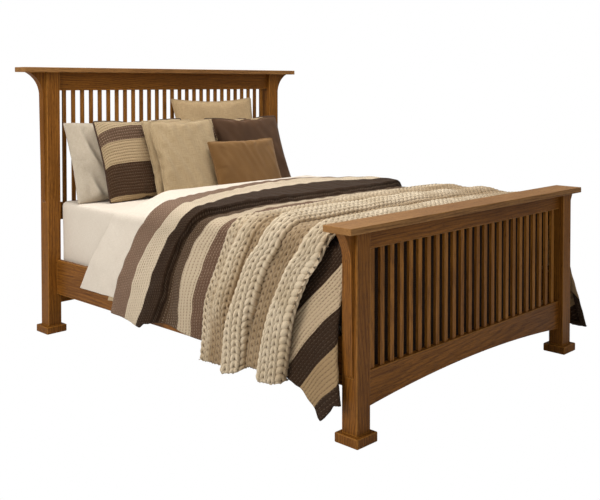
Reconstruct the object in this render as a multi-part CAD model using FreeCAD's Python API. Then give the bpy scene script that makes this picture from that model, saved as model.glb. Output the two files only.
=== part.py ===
import FreeCAD, Part
import math
import os
from FreeCAD import Vector

# A mission bed in solid oak, made up with its bedding. Sizes are in millimetres.
# X runs across the bed, Y from the foot to the head and Z up.
# The origin is on the floor, under the middle of the whole piece.

# Mattress and the frame opening that it sets
mattress_width = 1524.0
mattress_length = 2032.0
mattress_height = 301.4
mattress_side_gap = 10.0
mattress_head_gap = 8.0
mattress_foot_gap = 67.1
mattress_edge_round = 38.0

# Posts, blocks under them and the caps on top
post_side = 76.2
post_edge_round = 3.0
head_post_top = 1400.0
foot_post_top = 792.0
block_height = 38.0
block_spread = 20.0
block_edge_round = 5.0
cap_thickness = 26.0
cap_edge_round = 2.5
cap_front_overhang = 24.0
head_cap_depth = 114.0
head_cap_end_overhang = 135.0
foot_cap_depth = 140.0
foot_cap_end_overhang = 62.0

# Rails between the posts of each end
end_rail_thickness = 28.0
rail_edge_round = 2.0
head_top_rail_height = 98.0
head_middle_rail_top = 694.0
head_middle_rail_height = 92.0
head_bottom_rail_top = 240.0
head_bottom_rail_height = 90.0
foot_top_rail_height = 74.0
foot_bottom_rail_top = 258.0
foot_bottom_rail_height = 138.0
foot_arch_rise = 38.0
tenon_thickness = 10.0
tenon_length = 30.0
tenon_shoulder = 9.0
wood_clearance = 0.2

# Upright slats
slat_thickness = 12.7
head_slat_width = 20.0
head_slat_count = 27
foot_slat_width = 24.0
foot_slat_count = 24
mortise_depth = 12.0
slat_end_gap = 0.5

# Corbels that flare out under the cap ends
corbel_thickness = 42.0
corbel_flare_height = 125.0
corbel_neck = 14.0
corbel_tail = 6.0
head_corbel_reach = 96.0
head_corbel_bottom = 700.0
foot_corbel_reach = 54.0
foot_corbel_bottom = 247.0

# Side rails, cleats and cross slats
side_rail_thickness = 25.4
side_rail_height = 185.0
side_rail_bottom = 205.0
side_rail_edge_round = 4.0
side_rail_reveal = 15.0
cleat_thickness = 25.0
cleat_height = 32.0
cleat_end_gap = 40.0
cleat_screw_count = 8
cross_slat_count = 5
cross_slat_width = 90.0
cross_slat_thickness = 19.0
cross_slat_end_gap = 3.0
cross_slat_margin = 120.0
cross_slat_edge_round = 2.0
cross_slat_screw_inset = 14.0

# Steel hook plates at the ends of the side rails
plate_height = 130.0
plate_width = 16.0
plate_thickness = 3.0
plate_slack = 0.15
hook_thickness = 5.0
hook_reach = 13.0
hook_drop = 10.0
hook_neck_height = 14.0
hook_spacing = 56.0
hook_wall = 4.5
hook_slack = 0.6
plate_screw_spacing = 110.0
pocket_depth = 16.0

# Screws and dowels
screw_shank_radius = 2.2
screw_head_radius = 4.2
screw_head_height = 2.8
screw_tip_height = 5.0
screw_tip_radius = 0.4
screw_clearance = 0.1
plate_screw_length = 24.0
cleat_screw_length = 42.0
cross_slat_screw_length = 40.0
block_screw_length = 66.0
leg_screw_length = 62.0
dowel_radius = 4.0
dowel_chamfer = 0.8
dowel_clearance = 0.1
cap_dowel_length = 46.0
cap_dowel_in_cap = 18.0
cap_dowel_spacing = 520.0
corbel_dowel_length = 38.0
corbel_dowel_in_corbel = 18.0
corbel_dowel_drop = 30.0

# Centre legs with screw levellers
leg_side = 45.0
leg_bottom = 34.0
leg_edge_round = 3.0
insert_radius = 8.0
insert_length = 25.0
stem_radius = 5.0
stem_length = 58.0
stem_clearance = 0.05
stem_travel = 14.0
nut_across = 17.0
nut_height = 6.0
nut_base = 12.0
pad_radius = 20.0
pad_height = 10.0
pad_edge_round = 2.0
pad_socket_depth = 6.0

# Bedding
soft_gap = 0.3
cloth_gap = 1.0
sheet_hem_gap = 1.5
tuck_hem = 300.0
quilt_foot_gap = 6.0
quilt_head_room = (924.2, 589.2)
flat_sheet_foot_inset = 20.0
flat_sheet_head_room = (709.2, 549.2)
throw_foot_room = (118.8, 113.8)
throw_width = (545.0, 710.0)
throw_shoulder_gap = 4.0
throw_round_gap = 6.0
throw_hem_gap = 8.0
spring_base_height = 140.0
spring_base_inset = 3.0
spring_base_round = 14.0
sheet_thickness = 2.0
fitted_sheet_hem = 5.0

# Overrun of every cut past the faces that it opens
overrun = 1.0

# Sizes and places that follow from these
side_rail_length = (mattress_length + mattress_foot_gap + mattress_head_gap
                    + end_rail_thickness / 2 - post_side / 2)
rail_inner_x = mattress_width / 2 + mattress_side_gap
rail_outer_x = rail_inner_x + side_rail_thickness
rail_x = rail_inner_x + side_rail_thickness / 2
head_post_x = rail_inner_x + post_side / 2
foot_post_x = rail_outer_x + side_rail_reveal - post_side / 2
overall_length = cap_front_overhang + 2 * post_side + side_rail_length + block_spread
foot_face_y = cap_front_overhang - overall_length / 2
foot_back_y = foot_face_y + post_side
head_face_y = foot_back_y + side_rail_length
foot_y = foot_face_y + post_side / 2
head_y = head_face_y + post_side / 2
middle_y = (foot_back_y + head_face_y) / 2
side_rail_top = side_rail_bottom + side_rail_height
cleat_top = side_rail_bottom + cleat_height
cross_slat_top = cleat_top + cross_slat_thickness
spring_base_bottom = cross_slat_top + soft_gap
mattress_bottom = spring_base_bottom + spring_base_height + soft_gap
mattress_top = mattress_bottom + mattress_height
bed_top = mattress_top + soft_gap + sheet_thickness
mattress_head_y = head_y - end_rail_thickness / 2 - mattress_head_gap
mattress_foot_y = mattress_head_y - mattress_length


def box(low, high):
    size = high - low
    return Part.makeBox(size.x, size.y, size.z, low)


def eased_box(low, high, radius):
    solid = box(low, high)
    return solid.makeFillet(radius, solid.Edges)


def upright(x, y, side, bottom, top, radius):
    """A square post with its four long edges eased."""
    half = side / 2
    solid = box(Vector(x - half, y - half, bottom), Vector(x + half, y + half, top))
    long_edges = [edge for edge in solid.Edges if edge.Length > side * 2]
    return solid.makeFillet(radius, long_edges)


def mirror_x(shape):
    return shape.mirror(Vector(0, 0, 0), Vector(1, 0, 0))


def mirror_y(shape):
    return shape.mirror(Vector(0, middle_y, 0), Vector(0, 1, 0))


def four_corners(shape):
    """The same piece at both ends of both side rails, from the one at the left foot."""
    head = mirror_y(shape)
    return [shape, mirror_x(shape), head, mirror_x(head)]


def screw(at, direction, length, extra=0.0):
    """A countersunk screw. With extra it is the hole for one."""
    head_end = at + direction * screw_head_height
    tip_start = at + direction * (length - screw_tip_height)
    head = Part.makeCone(screw_head_radius + extra, screw_shank_radius + extra,
                         screw_head_height, at, direction)
    shank = Part.makeCylinder(screw_shank_radius + extra,
                              length - screw_head_height - screw_tip_height,
                              head_end, direction)
    tip = Part.makeCone(screw_shank_radius + extra, screw_tip_radius + extra,
                        screw_tip_height + extra, tip_start, direction)
    return head.fuse([shank, tip]).removeSplitter()


def screw_hole(at, direction, length):
    hole = screw(at, direction, length, screw_clearance)
    mouth = Part.makeCylinder(screw_head_radius + screw_clearance, overrun,
                              at - direction * overrun, direction)
    return hole.fuse(mouth)


def dowel(at, direction, length, extra=0.0):
    """A round dowel with chamfered ends. With extra it is the hole for one."""
    start = at - direction * extra
    peg = Part.makeCylinder(dowel_radius + extra, length + 2 * extra, start, direction)
    if extra:
        return peg
    rims = [edge for edge in peg.Edges if edge.Closed]
    return peg.makeChamfer(dowel_chamfer, rims)


def dowel_hole(at, direction, length):
    return dowel(at, direction, length, dowel_clearance)


# Fasteners, each listed once and used for the piece and for its hole
def block_screw_places():
    return [Vector(side * x, y, 0)
            for x, y in ((head_post_x, head_y), (foot_post_x, foot_y)) for side in (-1, 1)]


def cap_dowel_places(post_x, y, top):
    bottom = top + cap_dowel_in_cap - cap_dowel_length
    across = (-post_x, -cap_dowel_spacing, 0, cap_dowel_spacing, post_x)
    return [Vector(x, y, bottom) for x in across]


def corbel_dowel_place(post_x, y, top):
    outer_face = post_x + post_side / 2
    start = outer_face + corbel_dowel_in_corbel - corbel_dowel_length
    return Vector(start, y, top - corbel_dowel_drop)


def cleat_screw_places():
    first = foot_back_y + 2 * cleat_end_gap
    step = (side_rail_length - 4 * cleat_end_gap) / (cleat_screw_count - 1)
    height = side_rail_bottom + cleat_height / 2
    return [Vector(cleat_thickness - rail_inner_x, first + step * number, height)
            for number in range(cleat_screw_count)]


def cross_slat_places():
    first = foot_back_y + cross_slat_margin
    step = (side_rail_length - 2 * cross_slat_margin) / (cross_slat_count - 1)
    return [first + step * number for number in range(cross_slat_count)]


def leg_places():
    """A centre leg stands under every second cross slat."""
    return cross_slat_places()[1::2]


def cross_slat_screw_places(y):
    x = rail_inner_x - cross_slat_screw_inset
    return [Vector(side * x, y, cross_slat_top) for side in (-1, 1)]


def plate_screw_heights():
    middle = side_rail_bottom + side_rail_height / 2
    return [middle + side * plate_screw_spacing / 2 for side in (-1, 1)]


# The hook joint, drawn at the left foot post, where the post face is foot_back_y
plate_bottom = side_rail_bottom + (side_rail_height - plate_height) / 2


def hook_outline(x, base_z, slack):
    """Side view of one hook: a neck out of the plate and a nose that drops behind."""
    y = foot_back_y
    reach = hook_reach + slack
    nose = hook_wall + slack
    top = base_z + hook_neck_height + slack
    corners = [Vector(x, y, base_z - slack), Vector(x, y, top), Vector(x, y - reach, top),
               Vector(x, y - reach, base_z - hook_drop - slack),
               Vector(x, y - reach + nose, base_z - hook_drop - slack),
               Vector(x, y - reach + nose, base_z - slack), Vector(x, y, base_z - slack)]
    return Part.Face(Part.makePolygon(corners))


def hook_base_heights():
    middle = side_rail_bottom + side_rail_height / 2
    return [middle + side * hook_spacing / 2 for side in (-1, 1)]


def rail_hook_plate():
    half = plate_width / 2
    plate = box(Vector(-rail_x - half, foot_back_y, plate_bottom),
                Vector(-rail_x + half, foot_back_y + plate_thickness, plate_bottom + plate_height))
    hooks = [hook_outline(-rail_x - hook_thickness / 2, height, 0)
             .extrude(Vector(hook_thickness, 0, 0)) for height in hook_base_heights()]
    plate = plate.fuse(hooks).removeSplitter()
    holes = [screw_hole(Vector(-rail_x, foot_back_y, height), Vector(0, 1, 0), plate_screw_length)
             for height in plate_screw_heights()]
    return plate.cut(holes)


def post_hook_plate():
    half = plate_width / 2
    plate = box(Vector(-rail_x - half, foot_back_y - plate_thickness, plate_bottom),
                Vector(-rail_x + half, foot_back_y, plate_bottom + plate_height))
    slots = [hook_slot(height, plate_thickness + overrun) for height in hook_base_heights()]
    holes = [screw_hole(Vector(-rail_x, foot_back_y, height), Vector(0, -1, 0), plate_screw_length)
             for height in plate_screw_heights()]
    return plate.cut(slots + holes)


def hook_slot(base_z, depth):
    """Room for a hook to enter above its seat and drop home."""
    half = hook_thickness / 2 + hook_slack
    low = base_z - hook_drop - hook_slack
    high = base_z + hook_neck_height + hook_drop + hook_slack
    return box(Vector(-rail_x - half, foot_back_y - depth, low),
               Vector(-rail_x + half, foot_back_y + overrun, high))


def plate_recess(toward_rail):
    half = plate_width / 2 + plate_slack
    near = foot_back_y - overrun * toward_rail
    far = foot_back_y + (plate_thickness + plate_slack) * toward_rail
    return box(Vector(-rail_x - half, min(near, far), plate_bottom - plate_slack),
               Vector(-rail_x + half, max(near, far), plate_bottom + plate_height + plate_slack))


def hook_joint_post_cuts():
    cuts = [plate_recess(-1)]
    cuts += [hook_slot(height, pocket_depth) for height in hook_base_heights()]
    cuts += [screw_hole(Vector(-rail_x, foot_back_y, height), Vector(0, -1, 0), plate_screw_length)
             for height in plate_screw_heights()]
    return cuts


def hook_joint_rail_cuts():
    cuts = [plate_recess(1)]
    cuts += [screw_hole(Vector(-rail_x, foot_back_y, height), Vector(0, 1, 0), plate_screw_length)
             for height in plate_screw_heights()]
    return cuts


# Head and foot ends
def rail_tenon(inner_x, y, bottom, top, slack):
    """The left tenon of an end rail, or with slack its mortise."""
    half = tenon_thickness / 2 + slack
    return box(Vector(-inner_x - tenon_length - slack, y - half, bottom + tenon_shoulder - slack),
               Vector(-inner_x + overrun, y + half, top - tenon_shoulder + slack))


def end_post(post_x, y, top, rails, hook_cuts):
    """The left post of an end, with its mortises, dowel holes and hook pockets."""
    inner_x = post_x - post_side / 2
    post = upright(-post_x, y, post_side, block_height, top, post_edge_round)
    cuts = [rail_tenon(inner_x, y, bottom, height, wood_clearance) for bottom, height in rails]
    cuts += hook_cuts
    cuts.append(screw_hole(Vector(-post_x, y, 0), Vector(0, 0, 1), block_screw_length))
    cuts.append(dowel_hole(cap_dowel_places(post_x, y, top)[0], Vector(0, 0, 1), cap_dowel_length))
    cuts.append(mirror_x(dowel_hole(corbel_dowel_place(post_x, y, top),
                                    Vector(1, 0, 0), corbel_dowel_length)))
    return post.cut(cuts)


def end_rail(post_x, y, bottom, top, arch_rise=0.0):
    """A rail between two posts, tenoned at both ends, with an arched lower edge if asked."""
    inner_x = post_x - post_side / 2
    half = end_rail_thickness / 2
    board = box(Vector(-inner_x, y - half, bottom), Vector(inner_x, y + half, top))
    if arch_rise:
        board = board.cut(arch_cut(inner_x, y, bottom, arch_rise))
    straight = [edge for edge in board.Edges
                if edge.Length > inner_x and isinstance(edge.Curve, Part.Line)]
    board = board.makeFillet(rail_edge_round, straight)
    left = rail_tenon(inner_x, y, bottom, top, 0)
    return board.fuse([left, mirror_x(left)]).removeSplitter()


def arch_cut(inner_x, y, bottom, rise):
    half = end_rail_thickness / 2 + overrun
    left = Vector(-inner_x, y - half, bottom)
    right = Vector(inner_x, y - half, bottom)
    crown = Vector(0, y - half, bottom + rise)
    low_left = left - Vector(0, 0, overrun)
    low_right = right - Vector(0, 0, overrun)
    outline = Part.Wire([Part.Arc(left, crown, right).toShape(),
                         Part.LineSegment(right, low_right).toShape(),
                         Part.LineSegment(low_right, low_left).toShape(),
                         Part.LineSegment(low_left, left).toShape()])
    return Part.Face(outline).extrude(Vector(0, 2 * half, 0))


def slat_centres(inner_x, width, count):
    gap = (2 * inner_x - count * width) / (count + 1)
    return [gap * (number + 1) + width * (number + 0.5) - inner_x for number in range(count)]


def slat_row(inner_x, y, width, count, bottom, top, slack):
    """Upright slats from rail to rail. With slack they are the mortises."""
    half_width = width / 2 + slack
    half_depth = slat_thickness / 2 + slack
    reach = mortise_depth - slat_end_gap if not slack else mortise_depth
    return [box(Vector(x - half_width, y - half_depth, bottom - reach),
                Vector(x + half_width, y + half_depth, top + reach))
            for x in slat_centres(inner_x, width, count)]


def cap(post_x, y, front_y, depth, end_overhang, top):
    reach = post_x + post_side / 2 + end_overhang
    board = eased_box(Vector(-reach, front_y, top),
                      Vector(reach, front_y + depth, top + cap_thickness), cap_edge_round)
    return board.cut([dowel_hole(at, Vector(0, 0, 1), cap_dowel_length)
                      for at in cap_dowel_places(post_x, y, top)])


def corbel(post_x, y, top, reach, bottom):
    """The right corbel: a flare under the cap that runs down into a thin tapering tail."""
    face = post_x + post_side / 2
    rise = reach - corbel_neck
    radius = (corbel_flare_height ** 2 + rise ** 2) / (2 * rise)
    half_flare = corbel_flare_height / 2
    bulge = radius - math.sqrt(radius ** 2 - half_flare ** 2)
    front = y - corbel_thickness / 2
    neck = Vector(face + corbel_neck, front, top - corbel_flare_height)
    via = Vector(face + corbel_neck + bulge, front, top - half_flare)
    tip = Vector(face + reach, front, top)
    tail = Vector(face + corbel_tail, front, bottom + corbel_neck)
    toe = Vector(face, front, bottom)
    heel = Vector(face, front, top)
    outline = Part.Wire([Part.Arc(tip, via, neck).toShape(),
                         Part.LineSegment(neck, tail).toShape(),
                         Part.LineSegment(tail, toe).toShape(),
                         Part.LineSegment(toe, heel).toShape(),
                         Part.LineSegment(heel, tip).toShape()])
    solid = Part.Face(outline).extrude(Vector(0, corbel_thickness, 0))
    return solid.cut(dowel_hole(corbel_dowel_place(post_x, y, top),
                                Vector(1, 0, 0), corbel_dowel_length))


def foot_block(post_x, y):
    half = post_side / 2 + block_spread
    block = eased_box(Vector(-post_x - half, y - half, 0),
                      Vector(-post_x + half, y + half, block_height), block_edge_round)
    return block.cut(screw_hole(Vector(-post_x, y, 0), Vector(0, 0, 1), block_screw_length))


def head_end():
    inner_x = head_post_x - post_side / 2
    top_rail_bottom = head_post_top - head_top_rail_height
    middle_bottom = head_middle_rail_top - head_middle_rail_height
    bottom_bottom = head_bottom_rail_top - head_bottom_rail_height
    rails = [(top_rail_bottom, head_post_top), (middle_bottom, head_middle_rail_top),
             (bottom_bottom, head_bottom_rail_top)]
    hook_cuts = [mirror_y(cut) for cut in hook_joint_post_cuts()]
    left_post = end_post(head_post_x, head_y, head_post_top, rails, hook_cuts)
    mortises = slat_row(inner_x, head_y, head_slat_width, head_slat_count,
                        head_middle_rail_top, top_rail_bottom, wood_clearance)
    slats = slat_row(inner_x, head_y, head_slat_width, head_slat_count,
                     head_middle_rail_top, top_rail_bottom, 0)
    dowel_holes = [dowel_hole(at, Vector(0, 0, 1), cap_dowel_length)
                   for at in cap_dowel_places(head_post_x, head_y, head_post_top)[1:4]]
    top_rail = end_rail(head_post_x, head_y, top_rail_bottom, head_post_top)
    middle_rail = end_rail(head_post_x, head_y, middle_bottom, head_middle_rail_top)
    front_y = head_face_y - cap_front_overhang
    right_corbel = corbel(head_post_x, head_y, head_post_top,
                          head_corbel_reach, head_corbel_bottom)
    block = foot_block(head_post_x, head_y)
    return {
        "head_post_left": left_post,
        "head_post_right": mirror_x(left_post),
        "head_cap": cap(head_post_x, head_y, front_y, head_cap_depth,
                        head_cap_end_overhang, head_post_top),
        "head_top_rail": top_rail.cut(mortises + dowel_holes),
        "head_middle_rail": middle_rail.cut(mortises),
        "head_bottom_rail": end_rail(head_post_x, head_y, bottom_bottom, head_bottom_rail_top),
        "head_slats": Part.makeCompound(slats),
        "head_corbel_left": mirror_x(right_corbel),
        "head_corbel_right": right_corbel,
        "head_block_left": block,
        "head_block_right": mirror_x(block),
    }


def foot_end():
    inner_x = foot_post_x - post_side / 2
    top_rail_bottom = foot_post_top - foot_top_rail_height
    bottom_bottom = foot_bottom_rail_top - foot_bottom_rail_height
    rails = [(top_rail_bottom, foot_post_top), (bottom_bottom, foot_bottom_rail_top)]
    left_post = end_post(foot_post_x, foot_y, foot_post_top, rails, hook_joint_post_cuts())
    mortises = slat_row(inner_x, foot_y, foot_slat_width, foot_slat_count,
                        foot_bottom_rail_top, top_rail_bottom, wood_clearance)
    slats = slat_row(inner_x, foot_y, foot_slat_width, foot_slat_count,
                     foot_bottom_rail_top, top_rail_bottom, 0)
    dowel_holes = [dowel_hole(at, Vector(0, 0, 1), cap_dowel_length)
                   for at in cap_dowel_places(foot_post_x, foot_y, foot_post_top)[1:4]]
    top_rail = end_rail(foot_post_x, foot_y, top_rail_bottom, foot_post_top)
    bottom_rail = end_rail(foot_post_x, foot_y, bottom_bottom,
                           foot_bottom_rail_top, foot_arch_rise)
    front_y = foot_face_y - cap_front_overhang
    right_corbel = corbel(foot_post_x, foot_y, foot_post_top,
                          foot_corbel_reach, foot_corbel_bottom)
    block = foot_block(foot_post_x, foot_y)
    return {
        "foot_post_left": left_post,
        "foot_post_right": mirror_x(left_post),
        "foot_cap": cap(foot_post_x, foot_y, front_y, foot_cap_depth,
                        foot_cap_end_overhang, foot_post_top),
        "foot_top_rail": top_rail.cut(mortises + dowel_holes),
        "foot_bottom_rail": bottom_rail.cut(mortises),
        "foot_slats": Part.makeCompound(slats),
        "foot_corbel_left": mirror_x(right_corbel),
        "foot_corbel_right": right_corbel,
        "foot_block_left": block,
        "foot_block_right": mirror_x(block),
    }


# Side rails, cleats and the cross slats that carry the spring base
def side_rail():
    """The left side rail, with its upper edges eased and a plate let into each end."""
    rail = box(Vector(-rail_outer_x, foot_back_y, side_rail_bottom),
               Vector(-rail_inner_x, head_face_y, side_rail_top))
    long_edges = [edge for edge in rail.Edges if edge.Length > side_rail_height * 2]
    rail = rail.makeFillet(side_rail_edge_round, long_edges)
    end_cuts = hook_joint_rail_cuts()
    cuts = end_cuts + [mirror_y(cut) for cut in end_cuts]
    cuts += [screw_hole(at, Vector(-1, 0, 0), cleat_screw_length) for at in cleat_screw_places()]
    return rail.cut(cuts)


def cleat():
    """The left cleat, screwed along the foot of the rail's inner face."""
    strip = box(Vector(-rail_inner_x, foot_back_y + cleat_end_gap, side_rail_bottom),
                Vector(cleat_thickness - rail_inner_x, head_face_y - cleat_end_gap, cleat_top))
    cuts = [screw_hole(at, Vector(-1, 0, 0), cleat_screw_length) for at in cleat_screw_places()]
    for y in cross_slat_places():
        at = cross_slat_screw_places(y)[0]
        cuts.append(screw_hole(at, Vector(0, 0, -1), cross_slat_screw_length))
    return strip.cut(cuts)


def cross_slat(y, carries_leg):
    reach = rail_inner_x - cross_slat_end_gap
    half = cross_slat_width / 2
    board = box(Vector(-reach, y - half, cleat_top), Vector(reach, y + half, cross_slat_top))
    long_edges = [edge for edge in board.Edges if edge.Length > reach]
    board = board.makeFillet(cross_slat_edge_round, long_edges)
    cuts = [screw_hole(at, Vector(0, 0, -1), cross_slat_screw_length)
            for at in cross_slat_screw_places(y)]
    if carries_leg:
        cuts.append(screw_hole(Vector(0, y, cross_slat_top), Vector(0, 0, -1), leg_screw_length))
    return board.cut(cuts)


def side_pieces():
    left_rail = side_rail()
    left_cleat = cleat()
    down = Vector(0, 0, -1)
    cleat_screws = [screw(at, Vector(-1, 0, 0), cleat_screw_length)
                    for at in cleat_screw_places()]
    cleat_screws += [mirror_x(piece) for piece in cleat_screws]
    slat_screws = [screw(at, down, cross_slat_screw_length)
                   for y in cross_slat_places() for at in cross_slat_screw_places(y)]
    into_rail = [screw(Vector(-rail_x, foot_back_y, height), Vector(0, 1, 0), plate_screw_length)
                 for height in plate_screw_heights()]
    into_post = [screw(Vector(-rail_x, foot_back_y, height), Vector(0, -1, 0), plate_screw_length)
                 for height in plate_screw_heights()]
    plate_screws = [piece for one in into_rail + into_post for piece in four_corners(one)]
    pieces = {
        "side_rail_left": left_rail,
        "side_rail_right": mirror_x(left_rail),
        "cleat_left": left_cleat,
        "cleat_right": mirror_x(left_cleat),
        "cleat_screws": Part.makeCompound(cleat_screws),
        "cross_slat_screws": Part.makeCompound(slat_screws),
        "rail_hook_plates": Part.makeCompound(four_corners(rail_hook_plate())),
        "post_hook_plates": Part.makeCompound(four_corners(post_hook_plate())),
        "hook_plate_screws": Part.makeCompound(plate_screws),
    }
    for number, y in enumerate(cross_slat_places()):
        pieces["cross_slat_%d" % (number + 1)] = cross_slat(y, y in leg_places())
    return pieces


# Centre legs, each with a threaded insert, a screw stem and a pad on the floor
def centre_leg(y):
    leg = upright(0, y, leg_side, leg_bottom, cleat_top, leg_edge_round)
    up = Vector(0, 0, 1)
    stem_top = pad_height - pad_socket_depth + stem_length
    cuts = [screw_hole(Vector(0, y, cross_slat_top), Vector(0, 0, -1), leg_screw_length),
            Part.makeCylinder(insert_radius + wood_clearance, insert_length + overrun,
                              Vector(0, y, leg_bottom - overrun), up),
            Part.makeCylinder(stem_radius + wood_clearance,
                              stem_top + stem_travel - leg_bottom,
                              Vector(0, y, leg_bottom), up)]
    return leg.cut(cuts)


def leveller_insert(y):
    up = Vector(0, 0, 1)
    sleeve = Part.makeCylinder(insert_radius, insert_length, Vector(0, y, leg_bottom), up)
    bore = Part.makeCylinder(stem_radius + stem_clearance, insert_length + 2 * overrun,
                             Vector(0, y, leg_bottom - overrun), up)
    return sleeve.cut(bore)


def leveller_stem(y):
    """A screw with its hexagon, standing in the pad's socket."""
    up = Vector(0, 0, 1)
    base = pad_height - pad_socket_depth + stem_clearance
    stem = Part.makeCylinder(stem_radius, stem_length, Vector(0, y, base), up)
    corner = nut_across / math.sqrt(3)
    corners = [Vector(corner * math.cos(math.pi / 3 * number),
                      y + corner * math.sin(math.pi / 3 * number), nut_base)
               for number in range(7)]
    nut = Part.Face(Part.makePolygon(corners)).extrude(Vector(0, 0, nut_height))
    return stem.fuse(nut).removeSplitter()


def leveller_pad(y):
    up = Vector(0, 0, 1)
    pad = Part.makeCylinder(pad_radius, pad_height, Vector(0, y, 0), up)
    pad = pad.makeFillet(pad_edge_round, [edge for edge in pad.Edges if edge.Closed])
    socket = Part.makeCylinder(stem_radius + stem_clearance, pad_socket_depth + overrun,
                               Vector(0, y, pad_height - pad_socket_depth), up)
    return pad.cut(socket)


def leg_pieces():
    pieces = {}
    for number, y in enumerate(leg_places(), 1):
        pieces["centre_leg_%d" % number] = centre_leg(y)
        pieces["leveller_pad_%d" % number] = leveller_pad(y)
        pieces["leveller_stem_%d" % number] = leveller_stem(y)
    pieces["leveller_inserts"] = Part.makeCompound([leveller_insert(y) for y in leg_places()])
    pieces["leg_screws"] = Part.makeCompound(
        [screw(Vector(0, y, cross_slat_top), Vector(0, 0, -1), leg_screw_length)
         for y in leg_places()])
    return pieces


def fixings():
    """Screws up through the foot blocks, and the dowels under the caps and behind the corbels."""
    block_screws = [screw(at, Vector(0, 0, 1), block_screw_length)
                    for at in block_screw_places()]
    dowels = []
    ends = ((head_post_x, head_y, head_post_top), (foot_post_x, foot_y, foot_post_top))
    for post_x, y, top in ends:
        dowels += [dowel(at, Vector(0, 0, 1), cap_dowel_length)
                   for at in cap_dowel_places(post_x, y, top)]
        right = dowel(corbel_dowel_place(post_x, y, top), Vector(1, 0, 0), corbel_dowel_length)
        dowels += [right, mirror_x(right)]
    return {"block_screws": Part.makeCompound(block_screws),
            "joint_dowels": Part.makeCompound(dowels)}


# Spring base, mattress and fitted sheet
def rounded_block(half_width, foot, head, bottom, top, radius):
    return eased_box(Vector(-half_width, foot, bottom), Vector(half_width, head, top), radius)


def mattress_shape(growth):
    half = mattress_width / 2 - soft_gap - sheet_thickness + growth
    return rounded_block(half, mattress_foot_y - growth, mattress_head_y + growth,
                         mattress_bottom - growth, mattress_top + growth,
                         mattress_edge_round + growth)


def fitted_sheet():
    cover = mattress_shape(soft_gap + sheet_thickness).cut(mattress_shape(soft_gap))
    reach = overall_length
    below = box(Vector(-reach, -reach, 0), Vector(reach, reach, mattress_bottom + fitted_sheet_hem))
    return cover.cut(below)


# Draped cloth: a row of upright sections from the foot to the head, lofted into one solid
def drape_section(cloth, share):
    """One closed outline across the bed, at this share of the way from the foot.
    Its plane leans, so that the cloth's edges swing toward the head as they hang down."""
    y_left, y_right = [foot + (head - foot) * share
                       for foot, head in zip(cloth["foot_y"], cloth["head_y"])]
    foot_lean, head_lean = cloth["lean_shares"]
    lean = foot_lean + (head_lean - foot_lean) * share
    turn = math.pi * cloth["fold_count"] * share
    wave = {-1: (1 - math.cos(turn)) / 2, 1: (1 - math.sin(turn)) / 2}
    hem_rise = math.sin(math.pi / 2 * share)
    hems = {side: foot + (head - foot) * hem_rise
            for side, foot, head in zip((-1, 1), cloth["foot_hem"], cloth["head_hem"])}
    spread = max(0, 1 - share / cloth["flare_share"]) ** 2
    flares = {side: flare * spread for side, flare in zip((-1, 1), cloth["foot_flare"])}
    flap = cloth["flap"] * (share > cloth["flap_share"])
    reach = cloth["hem_x"]

    def point(x, z):
        across = (x + reach) / (2 * reach)
        return Vector(x, y_left + (y_right - y_left) * across + lean * (cloth["top_z"] - z), z)

    def half(side, outer):
        """Hem, knee and shoulder of one side, on the inner or the outer face."""
        thick = outer * (cloth["thickness"] + flap)
        top = cloth["top_z"] + outer * (cloth["top_thickness"] + flap)
        top += outer * cloth["ridge"] * wave[-1]
        swing = cloth["fold"] * wave[side] + flares[side]
        shoulder = cloth["shoulder_x"] + thick
        radius = cloth["shoulder_round"] + thick
        corner = radius * (1 - math.sqrt(1 / 2))
        return [point(side * (reach + thick + swing), hems[side]),
                point(side * (cloth["knee_x"] + thick + swing / 2), cloth["knee_z"]),
                point(side * shoulder, top - radius),
                point(side * (shoulder - corner), top - corner),
                point(side * (shoulder - radius), top)]

    def face(left, right):
        return [line(left[0], left[1]), line(left[1], left[2]),
                Part.Arc(left[2], left[3], left[4]).toShape(), line(left[4], right[4]),
                Part.Arc(right[4], right[3], right[2]).toShape(), line(right[2], right[1]),
                line(right[1], right[0])]

    outer_left, outer_right = half(-1, 1), half(1, 1)
    inner_left, inner_right = half(-1, 0), half(1, 0)
    edges = face(outer_left, outer_right) + [line(outer_right[0], inner_right[0])]
    edges += face(inner_right, inner_left) + [line(inner_left[0], outer_left[0])]
    return Part.Wire(edges)


def line(start, end):
    return Part.LineSegment(start, end).toShape()


def drape(cloth):
    last = cloth["section_count"] - 1
    return Part.makeLoft([drape_section(cloth, number / last) for number in range(last + 1)],
                         True, False)


def quilt():
    """The quilt hangs over both sides, and its foot end is tucked down behind the slats."""
    tuck_back = mattress_foot_y - sheet_thickness - 2 * soft_gap
    half = quilt_size["shoulder_x"] - quilt_size["shoulder_round"]
    tuck = box(Vector(-half, tuck_back - quilt_size["thickness"], tuck_hem),
               Vector(half, tuck_back, quilt_size["top_z"] + quilt_size["top_thickness"] / 2))
    return drape(quilt_size).fuse(tuck)


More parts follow.
